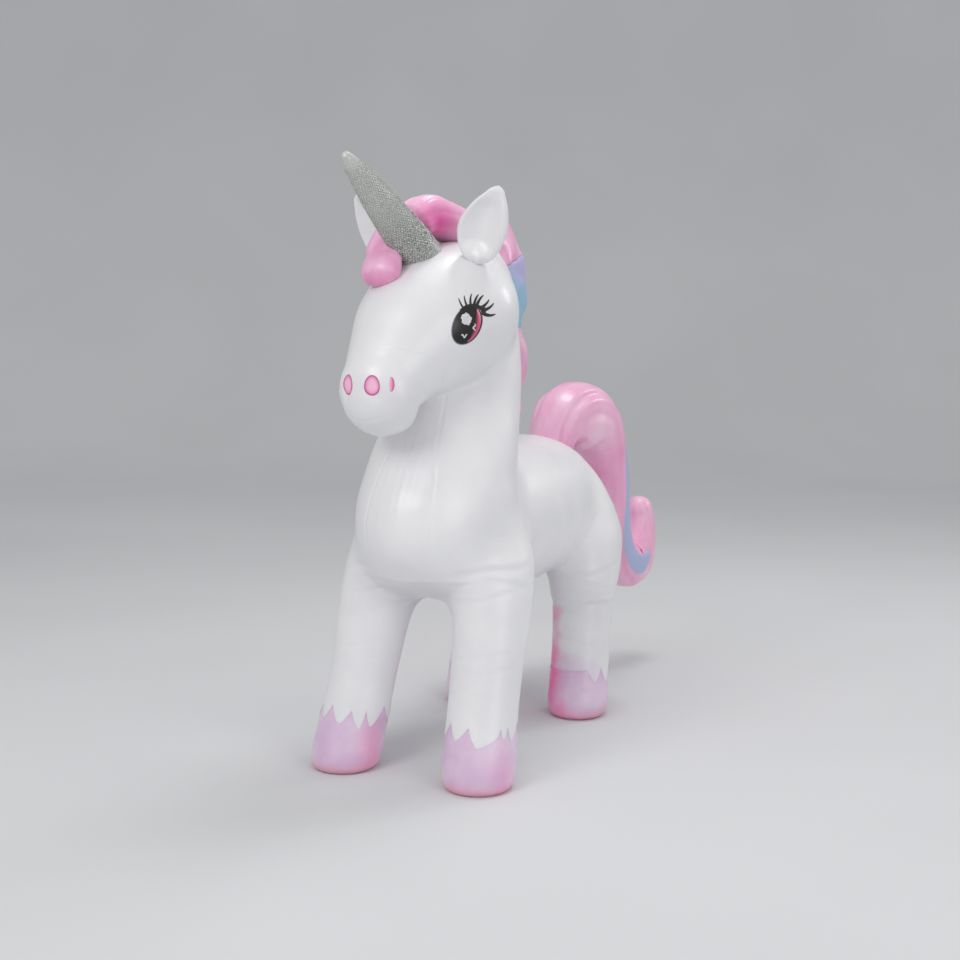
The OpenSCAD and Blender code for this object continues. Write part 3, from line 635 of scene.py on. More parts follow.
class Film:
    """A material of one sheet, built node by node."""

    def __init__(self, name, roughness=0.36, bump=1.0, **shader):
        self.material = bpy.data.materials.new(name)
        self.material.use_nodes = True
        self.tree = self.material.node_tree
        self.tree.nodes.clear()
        out = self.tree.nodes.new("ShaderNodeOutputMaterial")
        self.shader = self.tree.nodes.new("ShaderNodeBsdfPrincipled")
        self.tree.links.new(self.shader.outputs[0], out.inputs[0])
        for key, value in shader.items():
            self.shader.inputs[key.replace("_", " ")].default_value = value
        self.place = self.tree.nodes.new("ShaderNodeTexCoord").outputs["Object"]
        spread = self.ramp(self.noise(38, 3), [(0.3, roughness - 0.05), (0.7, roughness + 0.05)])
        self.tree.links.new(spread, self.shader.inputs["Roughness"])
        if bump:
            fine = self.noise(950, 2)
            coarse = self.noise(58, 4)
            both = self.math("MULTIPLY_ADD", coarse, 2.4, fine)
            node = self.node("ShaderNodeBump", Strength=0.22 * bump, Distance=0.0006, Height=both)
            self.tree.links.new(node.outputs[0], self.shader.inputs["Normal"])

    def node(self, kind, **inputs):
        node = self.tree.nodes.new(kind)
        for key, value in inputs.items():
            socket = node.inputs[int(key[1:]) if key[0] == "_" else key.replace("_", " ")]
            if isinstance(value, bpy.types.NodeSocket):
                self.tree.links.new(value, socket)
            else:
                socket.default_value = value
        return node

    def noise(self, scale, detail=2, stretch=None, vector=None):
        vector = vector or self.place
        if stretch:
            vector = self.node("ShaderNodeMapping", Vector=vector, Scale=stretch).outputs[0]
        return self.node("ShaderNodeTexNoise", Vector=vector, Scale=scale, Detail=detail).outputs[0]

    def math(self, operation, a, b=0.0, c=0.0):
        node = self.node("ShaderNodeMath", _0=a, _1=b, _2=c)
        node.operation = operation
        return node.outputs[0]

    def ramp(self, fac, stops):
        node = self.node("ShaderNodeValToRGB", Fac=fac)
        ramp = node.color_ramp
        while len(ramp.elements) < len(stops):
            ramp.elements.new(0.5)
        for element, (at, value) in zip(ramp.elements, stops):
            element.position = at
            element.color = value if hasattr(value, "__len__") else (value, value, value, 1)
        return node.outputs[0]

    def mix(self, fac, a, b):
        node = self.tree.nodes.new("ShaderNodeMix")
        node.data_type = "RGBA"
        for key, value in ((0, fac), (6, a), (7, b)):
            if isinstance(value, bpy.types.NodeSocket):
                self.tree.links.new(value, node.inputs[key])
            else:
                node.inputs[key].default_value = value
        return node.outputs[2]

    def away(self, centre, squeeze=(1, 1, 1)):
        """Distance from a point given in the home frame."""
        moved = self.node("ShaderNodeVectorMath", _0=self.place, _1=tuple(np.asarray(centre) + HOME))
        moved.operation = "SUBTRACT"
        scaled = self.node("ShaderNodeVectorMath", _0=moved.outputs[0], _1=squeeze)
        scaled.operation = "MULTIPLY"
        long = self.node("ShaderNodeVectorMath", _0=scaled.outputs[0])
        long.operation = "LENGTH"
        return long.outputs["Value"]

    def axis(self, n):
        return self.node("ShaderNodeSeparateXYZ", Vector=self.place).outputs[n]

    def attribute(self, name):
        node = self.tree.nodes.new("ShaderNodeAttribute")
        node.attribute_name = name
        return node.outputs["Fac"]

    def sprayed_and_highlit(self, colour, spots, scale=26, uneven=0.05, start=0.02, fade=0.03):
        """Spots over a colour, airbrushed blushes and painted highlights alike: middle, squeeze, reach,
        strength and colour.
        """
        for centre, squeeze, reach, strength, shade in spots:
            soft = self.math("MULTIPLY_ADD", self.noise(scale, 4), uneven, self.away(centre, squeeze))
            colour = self.mix(self.ramp(soft, [(start, strength), (reach + fade, 0.0)]), colour, shade)
        return colour

    def colour(self, socket):
        self.tree.links.new(socket, self.shader.inputs["Base Color"])
        return self.material


GLOSS = {"Coat_Weight": 0.26, "Coat_Roughness": 0.15, "Specular_IOR_Level": 0.5}


def white_film():
    f = Film("white_film_pvc", 0.37, **GLOSS)
    return f.colour(f.ramp(f.noise(5, 3), [(0.35, WHITE_LOW), (0.65, WHITE)]))


def leg_film(name, blush_and_highlight_spots):
    """White film, with airbrushed spots."""
    f = Film(name, 0.37, **GLOSS)
    colour = f.ramp(f.noise(5, 3), [(0.35, WHITE_LOW), (0.65, WHITE)])
    return f.colour(f.sprayed_and_highlit(colour, blush_and_highlight_spots))


def hoof_film(name, blush_and_highlight_spots):
    """Lavender print, pale where it bulges, with a pink rim and an airbrushed side."""
    f = Film(name, 0.36, **GLOSS)
    colour = f.ramp(f.noise(11, 4), [(0.32, LAVENDER_DEEP), (0.60, LAVENDER)])
    height = f.math("MULTIPLY_ADD", f.noise(18, 3), 0.03, f.axis(2))
    colour = f.mix(f.ramp(height, [(0.020, 0.75), (0.046, 0.0)]), colour, HOOF_PINK)
    return f.colour(f.sprayed_and_highlit(colour, blush_and_highlight_spots))


def pink_film(name, low=PINK_DEEP, mid=PINK, high=PINK_PALE, blush_and_highlight_spots=()):
    """Pink film with lengthwise streaks and optional spots: soft airbrushed blushes and painted highlights.
    """
    f = Film(name, 0.38, **GLOSS)
    streaks = f.noise(16, 4, stretch=(1.0, 0.55, 0.30))
    colour = f.ramp(streaks, [(0.30, low), (0.50, mid), (0.68, high)])
    return f.colour(f.sprayed_and_highlit(colour, blush_and_highlight_spots, 22, 0.03, 0.015, 0.015))


def blue_film():
    f = Film("blue_film_pvc", 0.38, **GLOSS)
    height = f.math("MULTIPLY_ADD", f.noise(14, 3), 0.05, f.axis(2))
    at = [1.10, 1.17, 1.235]
    low, high = at[0] - 0.1, at[2] + 0.1
    share = f.math("DIVIDE", f.math("SUBTRACT", height, low), high - low)
    stops = [((z - low) / (high - low), c) for z, c in zip(at, (BLUE, BLUE, LILAC))]
    return f.colour(f.ramp(share, stops))


def tail_film():
    """Pink with a blue stripe down the outer edge, by the sweep's own turn and length."""
    f = Film("tail_film_pvc", 0.38, **GLOSS)
    streaks = f.noise(15, 4, stretch=(1.0, 0.5, 0.30))
    colour = f.ramp(streaks, [(0.30, TAIL_PINK), (0.50, TAIL_ROSE), (0.68, PINK_PALE)])
    edge = f.math("MULTIPLY_ADD", f.noise(24, 3), 0.25, f.attribute("stripe"))
    return f.colour(f.mix(f.ramp(edge, [(0.30, 0.0), (0.62, 0.55), (0.88, 0.92)]), colour, STRIPE_BLUE))


def plain_film(name, low, high, roughness=0.34, scale=30, **shader):
    """A small moulded or printed part: two close shades and a fine grain."""
    f = Film(name, roughness, **{**GLOSS, **shader})
    return f.colour(f.ramp(f.noise(scale, 3), [(0.35, low), (0.65, high)]))


# ---- Camera, light and floor -------------------------------------------------------------

VIEW_AZIMUTH = np.radians(26)


def add_camera():
    centre = (cad_low + cad_high) / 2
    aim = np.array(centre) + np.array([0.023, -0.278, -0.041])
    azimuth, elevation, distance = VIEW_AZIMUTH, np.radians(6.2), 3.376
    back = np.array([np.sin(azimuth) * np.cos(elevation), -np.cos(azimuth) * np.cos(elevation),
                     np.sin(elevation)])
    data = bpy.data.cameras.new("camera")
    data.lens, data.sensor_width = 50, 36
    camera = bpy.data.objects.new("camera", data)
    camera.location = aim + back * distance
    camera.rotation_mode = "QUATERNION"
    camera.rotation_quaternion = Vector(-back).to_track_quat("-Z", "Y")
    bpy.context.scene.collection.objects.link(camera)
    bpy.context.scene.camera = camera


def add_light(name, place, aim, size, power, colour=(1, 1, 1)):
    data = bpy.data.lights.new(name, "AREA")
    data.shape, data.size, data.energy, data.color = "DISK", size, power, colour
    lamp = bpy.data.objects.new(name, data)
    lamp.location = place
    lamp.rotation_mode = "QUATERNION"
    lamp.rotation_quaternion = (Vector(aim) - Vector(place)).to_track_quat("-Z", "Y")
    bpy.context.scene.collection.objects.link(lamp)


def add_stage():
    middle = np.array((cad_low + cad_high) / 2)
    reach, bend, wall = 9.0, 3.5, 7.0
    turn = np.linspace(0, np.pi / 2, 24)
    run = np.concatenate([[-reach], reach - bend + bend * np.sin(turn), [reach]])
    rise = np.concatenate([[0.0], bend * (1 - np.cos(turn)), [wall]])
    away = np.array([-np.sin(VIEW_AZIMUTH), np.cos(VIEW_AZIMUTH), 0])
    side = np.cross(away, Z)
    rows = [[middle * (1, 1, 0) + away * a + side * s + Z * z for s in (-14, 14)]
            for a, z in zip(run, rise)]
    f = Film("stage_paper", 0.85, bump=0)
    paper = f.colour(f.ramp(f.noise(0.7, 2), [(0.3, tint(216, 217, 219)), (0.7, tint(221, 222, 224))]))
    stage = mesh_object("studio_floor", np.array(rows).reshape(-1, 3), grid_faces(len(rows), 2, False),
                        paper, at_home=False)
    world = bpy.data.worlds.new("studio")
    bpy.context.scene.world = world
    world.use_nodes = True
    world.node_tree.nodes["Background"].inputs[0].default_value = (0.885, 0.885, 0.895, 1)
    world.node_tree.nodes["Background"].inputs[1].default_value = 0.635
    top = np.array(middle)
    add_light("key", top + (-0.7, -3.2, 2.1), top, 1.8, 32, (1, 0.995, 0.985))
    add_light("fill", top + (2.9, -1.9, 0.9), top, 2.0, 16)
    add_light("above", top + (0.3, 0.5, 2.8), top, 1.0, 24)
    add_light("rim", top + (2.0, 2.8, 1.6), top, 1.0, 12)
    bpy.context.scene.view_settings.view_transform = "Standard"


add_camera()
add_stage()


# ---- The white skin and hooves -----------------------------------------------------------

def build_skin():
    low, high = (-0.30, -0.60, -0.012), (0.30, 0.68, 1.32)
    grid = sampled(skin, low, high, GRID_STEP)
    points, faces = net(grid, np.array(low), GRID_STEP)
    points = settled(skin, points)
    flat = np.abs(points[:, 2]) < 0.0006
    points[flat, 2] = 0
    points, faces = cut(points, faces, head_line)
    points, faces = cut(points, faces, neck_line)
    for level in (-0.007, -0.0025, 0, 0.0025, 0.007):
        points, faces = cut(points, faces, gusset_line, level)

    def on_head(p, value):
        return np.where(HEAD(p) < trunk(p) + 0.01, value, 1)

    for level in (-0.006, -0.002, 0.002, 0.006):
        points, faces = cut(points, faces, lambda p: on_head(p, muzzle_line(p)), level)
    points, faces = cut(points, faces, lambda p: on_head(p, head_frame(p)[1]))
    points, faces = cut(points, faces, lambda p: p[:, 0])
    for name in SIDES:
        for line, end in ((front_line, "front"), (rear_line, "rear")):
            points, faces = cut(points, faces, lambda p: np.where(p[:, 2] < LEG_TOP, line(p, name), 1))
            leg = (end, name)
            for level in (0, 0.006):
                points, faces = cut(points, faces, lambda p: np.where(
                    near_foot(p, leg), hoof_line(p, leg), 1), level, snap=0.0002)
            points, faces = cut(points, faces, lambda p: np.where(p[:, 2] < 0.01, sole_line(p, leg), 1))
    n = unit(slope_of(skin, points))
    points = points + n * relief(points)[:, None]
    points[flat.nonzero()[0], 2] = 0
    return points, faces


def skin_regions(points, faces):
    """Which piece each face belongs to, by the field at its middle."""
    m = points[faces].mean(1)
    head = head_line(m) < 0
    muzzle = head & (muzzle_line(m) > -0.002)
    left = np.where(head, head_frame(m)[1], m[:, 0]) > 0
    neck = ~head & (neck_line(m) < 0)
    gusset = ~head & (gusset_line(m) < 0)
    where = np.full(len(m), "torso_right_panel", dtype=object)
    where[left] = "torso_left_panel"
    for mask, label in ((neck, "neck"), (head, "head")):
        where[mask & left], where[mask & ~left] = f"{label}_left_panel", f"{label}_right_panel"
    where[gusset] = "chest_gusset"
    where[muzzle] = "muzzle_panel"
    low = m[:, 2] < LEG_TOP
    for name in SIDES:
        for line, end in ((front_line, "front"), (rear_line, "rear")):
            leg = (end, name)
            mine = low & (line(m, name) < 0)
            where[mine] = f"{end}_{name}_leg"
            where[mine & near_foot(m, leg) & (hoof_line(m, leg) < 0)] = f"{end}_{name}_hoof"
            where[(m[:, 2] < 0.0035) & (sole_line(m, leg) < 0)] = f"{end}_{name}_sole"
    return where


def lip(points, faces, normals, chosen, lift, drop):
    """Raises the chosen border points of a piece and turns their edge down to what is under."""
    directed = faces[:, [[0, 1], [1, 2], [2, 0]]].reshape(-1, 2)
    edges = np.sort(directed, axis=1)
    _, first, uses = np.unique(edges[:, 0] * len(points) + edges[:, 1],
                               return_index=True, return_counts=True)
    directed = directed[first[uses == 1]]
    directed = directed[chosen[directed].all(1)]
    border = np.unique(directed)
    low = points[border] - normals[border] * drop
    points = points.copy()
    points[border] += normals[border] * lift
    number = np.full(len(points), -1)
    number[border] = len(points) + np.arange(len(border))
    a, b = directed[:, 0], directed[:, 1]
    c, d = number[a], number[b]
    turned_down = [np.stack([b, a, c], 1), np.stack([b, c, d], 1)]
    return (np.concatenate([points, low]), np.concatenate([faces, *turned_down]),
            np.concatenate([normals, normals[border]]))


# Sprayed spots: place, stretch, radius, strength
REAR_BLUSH = [((0.088, 0.335, 0.262), (1, 1, 0.8), 0.040, 0.70),
              ((0.086, 0.312, 0.150), (1, 1, 0.55), 0.052, 0.95)]
REAR_HOOF_BLUSH = [((0.084, 0.298, 0.085), (1, 1, 0.45), 0.080, 1.0),
                   ((0.130, 0.262, 0.018), (0.6, 1, 1), 0.034, 0.7)]
LEG_FADE = [((0.130, 0.278, 0.108), (0.6, 0.8, 0.9), 0.075, 1.0)]
TORN_RIM, LIP_LIFT, LIP_DROP = 0.0045, 0.0010, 0.0008


def same(spots):
    return spots


def mirrored(spots):
    """Spots moved to the other side of the animal."""
    return [((-c[0], c[1], c[2]), *rest) for c, *rest in spots]


def inked(spots, shade):
    return [(*spot, shade) for spot in spots]


def add_skin():
    points, faces = build_skin()
    normals = vertex_normals(points, faces)
    where = skin_regions(points, faces)
    white = white_film()
    leg_looks, hoof_looks = {}, {}
    for name, turn in (("rear_left", same), ("rear_right", mirrored)):
        inks = inked(turn(LEG_FADE), LAVENDER_DEEP) + inked(turn(REAR_BLUSH), HOT_PINK)
        leg_looks[name] = leg_film(f"{name}_leg_film", inks)
    for name, spots in (("rear_left", REAR_HOOF_BLUSH + REAR_BLUSH),
                        ("rear_right", mirrored(REAR_HOOF_BLUSH) + mirrored(REAR_BLUSH)),
                        ("front_left", [((0.262, -0.350, 0.040), (1, 1, 0.6), 0.050, 0.30)]),
                        ("front_right", [((-0.095, -0.345, 0.050), (1, 1, 0.6), 0.055, 0.50)])):
        hoof_looks[name] = hoof_film(f"{name}_hoof_film", inked(spots, HOT_PINK))
    sole = plain_film("sole_film_pvc", tint(226, 146, 170), tint(236, 172, 190), 0.45)
    for name in sorted(set(where)):
        f = faces[where == name]
        used, f = np.unique(f, return_inverse=True)
        f = f.reshape(-1, 3)
        p, n = points[used], normals[used]
        leg, kind = name.rsplit("_", 1)
        look, slot = white, "white_film"
        if kind == "leg":
            look = leg_looks.get(leg, white)
            end, side = leg.split("_")
            torn = near_foot(p, (end, side)) & (np.abs(hoof_line(p, (end, side))) < TORN_RIM)
            p, f, n = lip(p, f, n, torn, LIP_LIFT, LIP_DROP)
        elif kind == "hoof":
            look, slot = hoof_looks[leg], "hoof_film"
        elif kind == "sole":
            look, slot = sole, "sole_film"
        placed(mesh_object(name + "_skin", p, f, look, n), slot, name)


add_skin()


# ---- Swept film chambers: mane, forelock, tail -------------------------------------------

def tri(quads):
    return np.concatenate([quads[:, [0, 1, 2]], quads[:, [0, 2, 3]]])


def facing_out(points, faces):
    """The faces turned so that a closed form encloses a positive volume."""
    p = points[faces]
    volume = np.einsum("ij,ij->i", p[:, 0], np.cross(p[:, 1], p[:, 2])).sum()
    return faces if volume > 0 else faces[:, ::-1]


def closed_rings(rings):
    """Triangles of a form made of rings of points, closed by a point at each end."""
    rows, count = rings.shape[:2]
    points = np.concatenate([rings.reshape(-1, 3), rings[0].mean(0)[None], rings[-1].mean(0)[None]])
    j = np.arange(count)
    k = (j + 1) % count
    first, last = rows * count, rows * count + 1
    lids = [np.stack([k, j, np.full(count, first)], 1),
            np.stack([j, k, np.full(count, last)], 1) + [[(rows - 1) * count] * 2 + [0]]]
    sides = tri(grid_faces(rows, count, True))
    faces = facing_out(points, np.concatenate([sides, *lids]))
    normals = vertex_normals(points, faces[:len(sides)])
    run = unit(points[-1] - points[-2])
    normals[-2], normals[-1] = -run, run
    return points, faces, normals


def places_along(length, reach, step):
    """Places along a sweep, closer at its rounded ends, with the share of its full size there."""
    turn = np.linspace(0.02, np.pi / 2, 9)
    start, end = reach[0] * (1 - np.cos(turn)), length - reach[1] * (1 - np.cos(turn[::-1]))
    middle = np.linspace(start[-1], end[0], max(int((end[0] - start[-1]) / step), 2))[1:-1]
    share = np.concatenate([np.sin(turn), np.ones(len(middle)), np.sin(turn[::-1])])
    return np.concatenate([start, middle, end]), share


def chamber(rows, hint, reach, form, count=72, step=0.006):
    """A closed swept chamber. Each row holds a point, half the width across and half the
    depth; form(s, angle, length) scales the section, so folds and grooves go in there."""
    rows = np.array(rows, float)
    knots = lengths_along(rows[:, :3])
    s, share = places_along(knots[-1], reach, step)
    line = smooth_rows(rows, s, knots)
    across, out = frames_along(line[:, :3], np.asarray(hint, float))
    angle = np.linspace(0, 2 * np.pi, count, endpoint=False)
    scale = form(s[:, None], angle[None], knots[-1])
    x = line[:, 3, None] * share[:, None] * np.cos(angle) * scale
    y = line[:, 4, None] * share[:, None] * np.sin(angle) * scale
    return line[:, None, :3] + x[..., None] * across[:, None] + y[..., None] * out[:, None]


ROUND = np.linspace(0, 2 * np.pi, 96, endpoint=False)


def upright_rings(x, rise, row, out):
    """Rings of points across a line that runs in the upright plane."""
    return np.stack([x, row[:, 0, None] + rise * out[:, 0, None],
                     row[:, 1, None] + rise * out[:, 1, None]], -1)


def groove(angle, at, width):
    """A lengthwise crease round a section, at an angle in degrees."""
    d = around(angle - np.radians(at))
    w = np.radians(width)
    return bump_at(d, 0, w) - 0.45 * (bump_at(d, 1.9 * w, w) + bump_at(d, -1.9 * w, w))


def wrinkles(s, angle, length, count, depth, reach, seed):
    """Short gathers that run in from both end welds."""
    near = np.exp(-s / reach) + np.exp(-(length - s) / reach)
    return depth * near * np.sin(count * angle + 1.7 * np.sin(3 * angle + seed) + seed)


def add_chamber(name, nodes, slot, material, rings, values=None):
    points, faces, normals = closed_rings(rings)
    obj = mesh_object(name, points, faces, material, normals)
    if values is not None:
        ends = [values[0].mean(), values[-1].mean()]
        give_values(obj, "stripe", np.concatenate([values.ravel(), ends]))
    return placed(obj, slot, *nodes)


# Down the back of the neck: y of the foot, z, height off the neck, half thickness
MANE = [(0.008, 1.292, 0.066, 0.050), (0.052, 1.262, 0.124, 0.064), (0.068, 1.215, 0.176, 0.070),
        (0.076, 1.160, 0.206, 0.070), (0.084, 1.100, 0.208, 0.066), (0.093, 1.043, 0.170, 0.054),
        (0.098, 0.996, 0.197, 0.064), (0.100, 0.945, 0.184, 0.061), (0.098, 0.895, 0.150, 0.052),
        (0.097, 0.845, 0.148, 0.057), (0.095, 0.790, 0.096, 0.042)]
MANE_SECTIONS = {"mane_top": (0, 2), "mane_blue": (2, 5), "mane_middle": (5, 8), "mane_bottom": (8, 10)}
MANE_SUNK = 0.030


def add_mane():
    looks = {"mane_top": pink_film("mane_top_film"), "mane_blue": blue_film(),
             "mane_middle": pink_film("mane_middle_film"), "mane_bottom": pink_film("mane_bottom_film")}
    line = np.array(MANE)
    knots = lengths_along(line[:, :2])
    for n, (name, (first, last)) in enumerate(MANE_SECTIONS.items()):
        length = knots[last] - knots[first] - 0.0008
        s, share = places_along(length, (0.008, 0.008), 0.005)
        share = 0.965 + 0.035 * share
        row = smooth_rows(line, knots[first] + s, knots)
        out = left_of(row[:, :2])
        a = ROUND[None]
        lobes = 1 + 0.035 * np.cos(6 * a + 1.2 * np.sin(2.2 * s[:, None] * 30 + n)) \
            + wrinkles(s[:, None], a, length, 15, 0.030, 0.014, n) - 0.05 * groove(a, 62, 7) \
            - 0.05 * groove(a, 118, 7) + 0.02 * np.sin(85 * s[:, None] + 2 * a + n)
        deep = np.sin(a)
        height = row[:, 2, None] * share[:, None]
        rise = np.where(deep > 0, height * deep * (0.45 + 0.55 * lobes), MANE_SUNK * deep)
        x = row[:, 3, None] * share[:, None] * np.cos(a) * lobes
        sway = 0.004 * np.sin(28 * s[:, None] + 2 * n) * np.clip(deep, 0, 1)
        rings = upright_rings(x + sway, rise, row, out)
        add_chamber(name + "_chamber", [name], "blue_film" if name == "mane_blue" else "pink_film",
                    looks[name], rings)


CREST = [(0.004, 0.012, 1.286, 0.046, 0.026), (-0.006, -0.060, 1.308, 0.052, 0.036),
         (-0.022, -0.118, 1.322, 0.053, 0.041), (-0.042, -0.172, 1.328, 0.053, 0.043),
         (-0.058, -0.222, 1.306, 0.054, 0.036)]
ROLL = [(-0.066, -0.226, 1.300, 0.056, 0.028), (-0.078, -0.262, 1.272, 0.058, 0.023),
        (-0.082, -0.286, 1.242, 0.057, 0.021), (-0.081, -0.304, 1.214, 0.055, 0.026),
        (-0.077, -0.316, 1.188, 0.053, 0.036), (-0.073, -0.330, 1.152, 0.046, 0.030)]


def add_forelock():
    # The crest gets a magenta airbrushed blush near the horn and a pale pink painted highlight on its top.
    crest_blush_and_highlight = [((0.006, -0.188, 1.302), (1, 1, 1), 0.074, 1.0, MAGENTA),
                   ((0.030, -0.100, 1.352), (1, 1, 1), 0.030, 0.8, PINK_PALE)]
    # The roll gets a magenta airbrushed blush at its end and a pale pink painted highlight across its front.
    roll_blush_and_highlight = [((-0.078, -0.350, 1.140), (0.4, 1, 1), 0.048, 0.6, MAGENTA),
                  ((-0.080, -0.350, 1.200), (0.35, 1, 1), 0.024, 0.6, PINK_PALE)]
    across = turned_way(X, 1.4 * HEAD_TURN)

    def crest_form(s, angle, length):
        return (1 + 0.44 * np.clip(-np.sin(angle), 0, 1)
                + wrinkles(s, angle, length, 13, 0.035, 0.022, 1) - 0.06 * groove(angle, 55, 6)
                - 0.05 * groove(angle, 96, 6) - 0.06 * groove(angle, 133, 6)
                + 0.02 * np.sin(60 * s + 3 * angle))

    def roll_form(s, angle, length):
        line = 0.05 * groove(angle, 66, 4) + 0.05 * groove(angle, 112, 5)
        fold = 0.16 * bump_at(s, length - 0.078, 0.010)
        crease = line * ease(length - 0.05, length - 0.08, s)
        return 1 + wrinkles(s, angle, length, 11, 0.02, 0.016, 4) - fold - crease

    rings = chamber(CREST, across, (0.035, 0.014), crest_form)
    add_chamber("forelock_crest_chamber", ["forelock_crest"], "pink_film",
                pink_film("crest_film", blush_and_highlight_spots=crest_blush_and_highlight), rings)
    rings = chamber(ROLL, across, (0.014, 0.026), roll_form, step=0.004)
    add_chamber("forelock_roll_chamber", ["forelock_roll"], "pink_film",
                pink_film("roll_film", blush_and_highlight_spots=roll_blush_and_highlight), rings)


# Along the tail, before it swings to one side: y, z, half width, half depth
TAIL = [(0.510, 0.715, 0.060, 0.060), (0.532, 0.770, 0.070, 0.070), (0.566, 0.805, 0.078, 0.075),
        (0.620, 0.824, 0.080, 0.076), (0.686, 0.820, 0.080, 0.074), (0.744, 0.786, 0.077, 0.071),
        (0.780, 0.725, 0.074, 0.068), (0.802, 0.645, 0.071, 0.065), (0.818, 0.560, 0.069, 0.063),
        (0.831, 0.470, 0.067, 0.062), (0.852, 0.388, 0.064, 0.061), (0.892, 0.326, 0.062, 0.059),
        (0.944, 0.304, 0.058, 0.056), (0.989, 0.326, 0.055, 0.052), (1.012, 0.392, 0.052, 0.048),
        (1.010, 0.470, 0.047, 0.043), (0.988, 0.528, 0.037, 0.034)]
TAIL_PARTS = {"tail_arch": (0, 6), "tail_drop": (6, 10), "tail_curl": (10, 16)}
TAIL_AXIS = np.array([0, 0.520, 0])
TAIL_SWING = np.radians(-12)


def add_tail():
    look = tail_film()
    line = np.array(TAIL)
    knots = lengths_along(line[:, :2])
    angle = ROUND[None]
    for n, (name, (first, last)) in enumerate(TAIL_PARTS.items()):
        length = knots[last] - knots[first] - 0.0006
        s, share = places_along(length, (0.004, 0.030 if name == "tail_curl" else 0.004), 0.006)
        joint = 0.997 + 0.003 * share
        share = np.where(s > length / 2, share, joint) if name == "tail_curl" else joint
        row = smooth_rows(line, knots[first] + s, knots)
        out = left_of(row[:, :2])
        place = knots[first] + s[:, None]
        folds = sum(0.040 * groove(angle + 0.5 * np.sin(3.2 * place + at), at, 8)
                    for at in (28, 58, 122, 152, 214, 262, 318))
        under = np.clip(-np.sin(angle), 0, 1) ** 1.5 * bump_at(place, 0.240, 0.155)
        inner = 0.72 * under + np.clip(np.sin(angle), 0, 1) ** 1.5 * bump_at(place, 0.900, 0.130) * 0.90
        folds = folds * (1 - 0.9 * under)
        form = 1 + inner - folds + wrinkles(s[:, None], angle, length, 17, 0.008, 0.016, n) \
            + 0.012 * np.sin(24 * place + 2 * angle)
        x = row[:, 2, None] * share[:, None] * np.cos(angle) * form
        y = row[:, 3, None] * share[:, None] * np.sin(angle) * form
        rings = turned(upright_rings(x, y, row, out), TAIL_SWING, TAIL_AXIS)
        edge = np.radians(36 - 30 * bump_at(place, 0.72, 0.17)) + 0.06 * np.sin(7 * place)
        turn = np.abs(around(angle - edge)) * (1 + 0.5 * ease(0.80, 0.90, place))
        stripe = ease(0.62, 0.30, turn) * ease(0.30, 0.50, place) * ease(0.97, 0.87, place)
        add_chamber(name + "_chamber", [name], "pink_film", look, rings, stripe)


add_mane()
add_forelock()
add_tail()


# ---- Ears and horn -----------------------------------------------------------------------

def on_skin(p, way):
    """Points moved along a direction to the skin with its relief."""
    way = unit(way)
    for _ in range(6):
        f = skin(p)
        slope = (skin(p + 0.0005 * way) - skin(p - 0.0005 * way)) / 0.001
        p = p - np.clip(f / np.where(np.abs(slope) < 0.2, np.sign(slope) * 0.2 + 1e-9, slope),
                        -0.02, 0.02)[:, None] * way
    n = unit(slope_of(skin, p))
    return p + n * relief(p)[:, None], n


def closing_shares(start, count, first):
    """Shares of a length from start to 1, closer together near the tip."""
    return np.concatenate([np.linspace(start, 0.9, count),
                           0.9 + 0.1 * np.sin(np.linspace(first, np.pi / 2, 14))])


# Up an ear: share of its length, offset of its middle outwards, half width, half thickness
EAR = [(-0.10, 0.004, 0.010, 0.012), (-0.06, 0.003, 0.023, 0.019), (0.00, 0.001, 0.036, 0.023),
       (0.10, -0.001, 0.046, 0.025), (0.25, -0.004, 0.054, 0.026),
       (0.42, -0.003, 0.058, 0.025), (0.58, 0.002, 0.052, 0.023),
       (0.74, 0.009, 0.039, 0.019), (0.87, 0.017, 0.024, 0.014), (0.96, 0.022, 0.012, 0.009),
       (1.00, 0.024, 0.0003, 0.0003)]
EAR_LENGTH, EAR_BOX = 0.174, 0.160
EAR_SHIFT = {"left": (-0.012, 0.018, 0.008), "right": (-0.008, 0.018, 0.014)}
EAR_LEAN = {"left": 0.5, "right": 0.3}


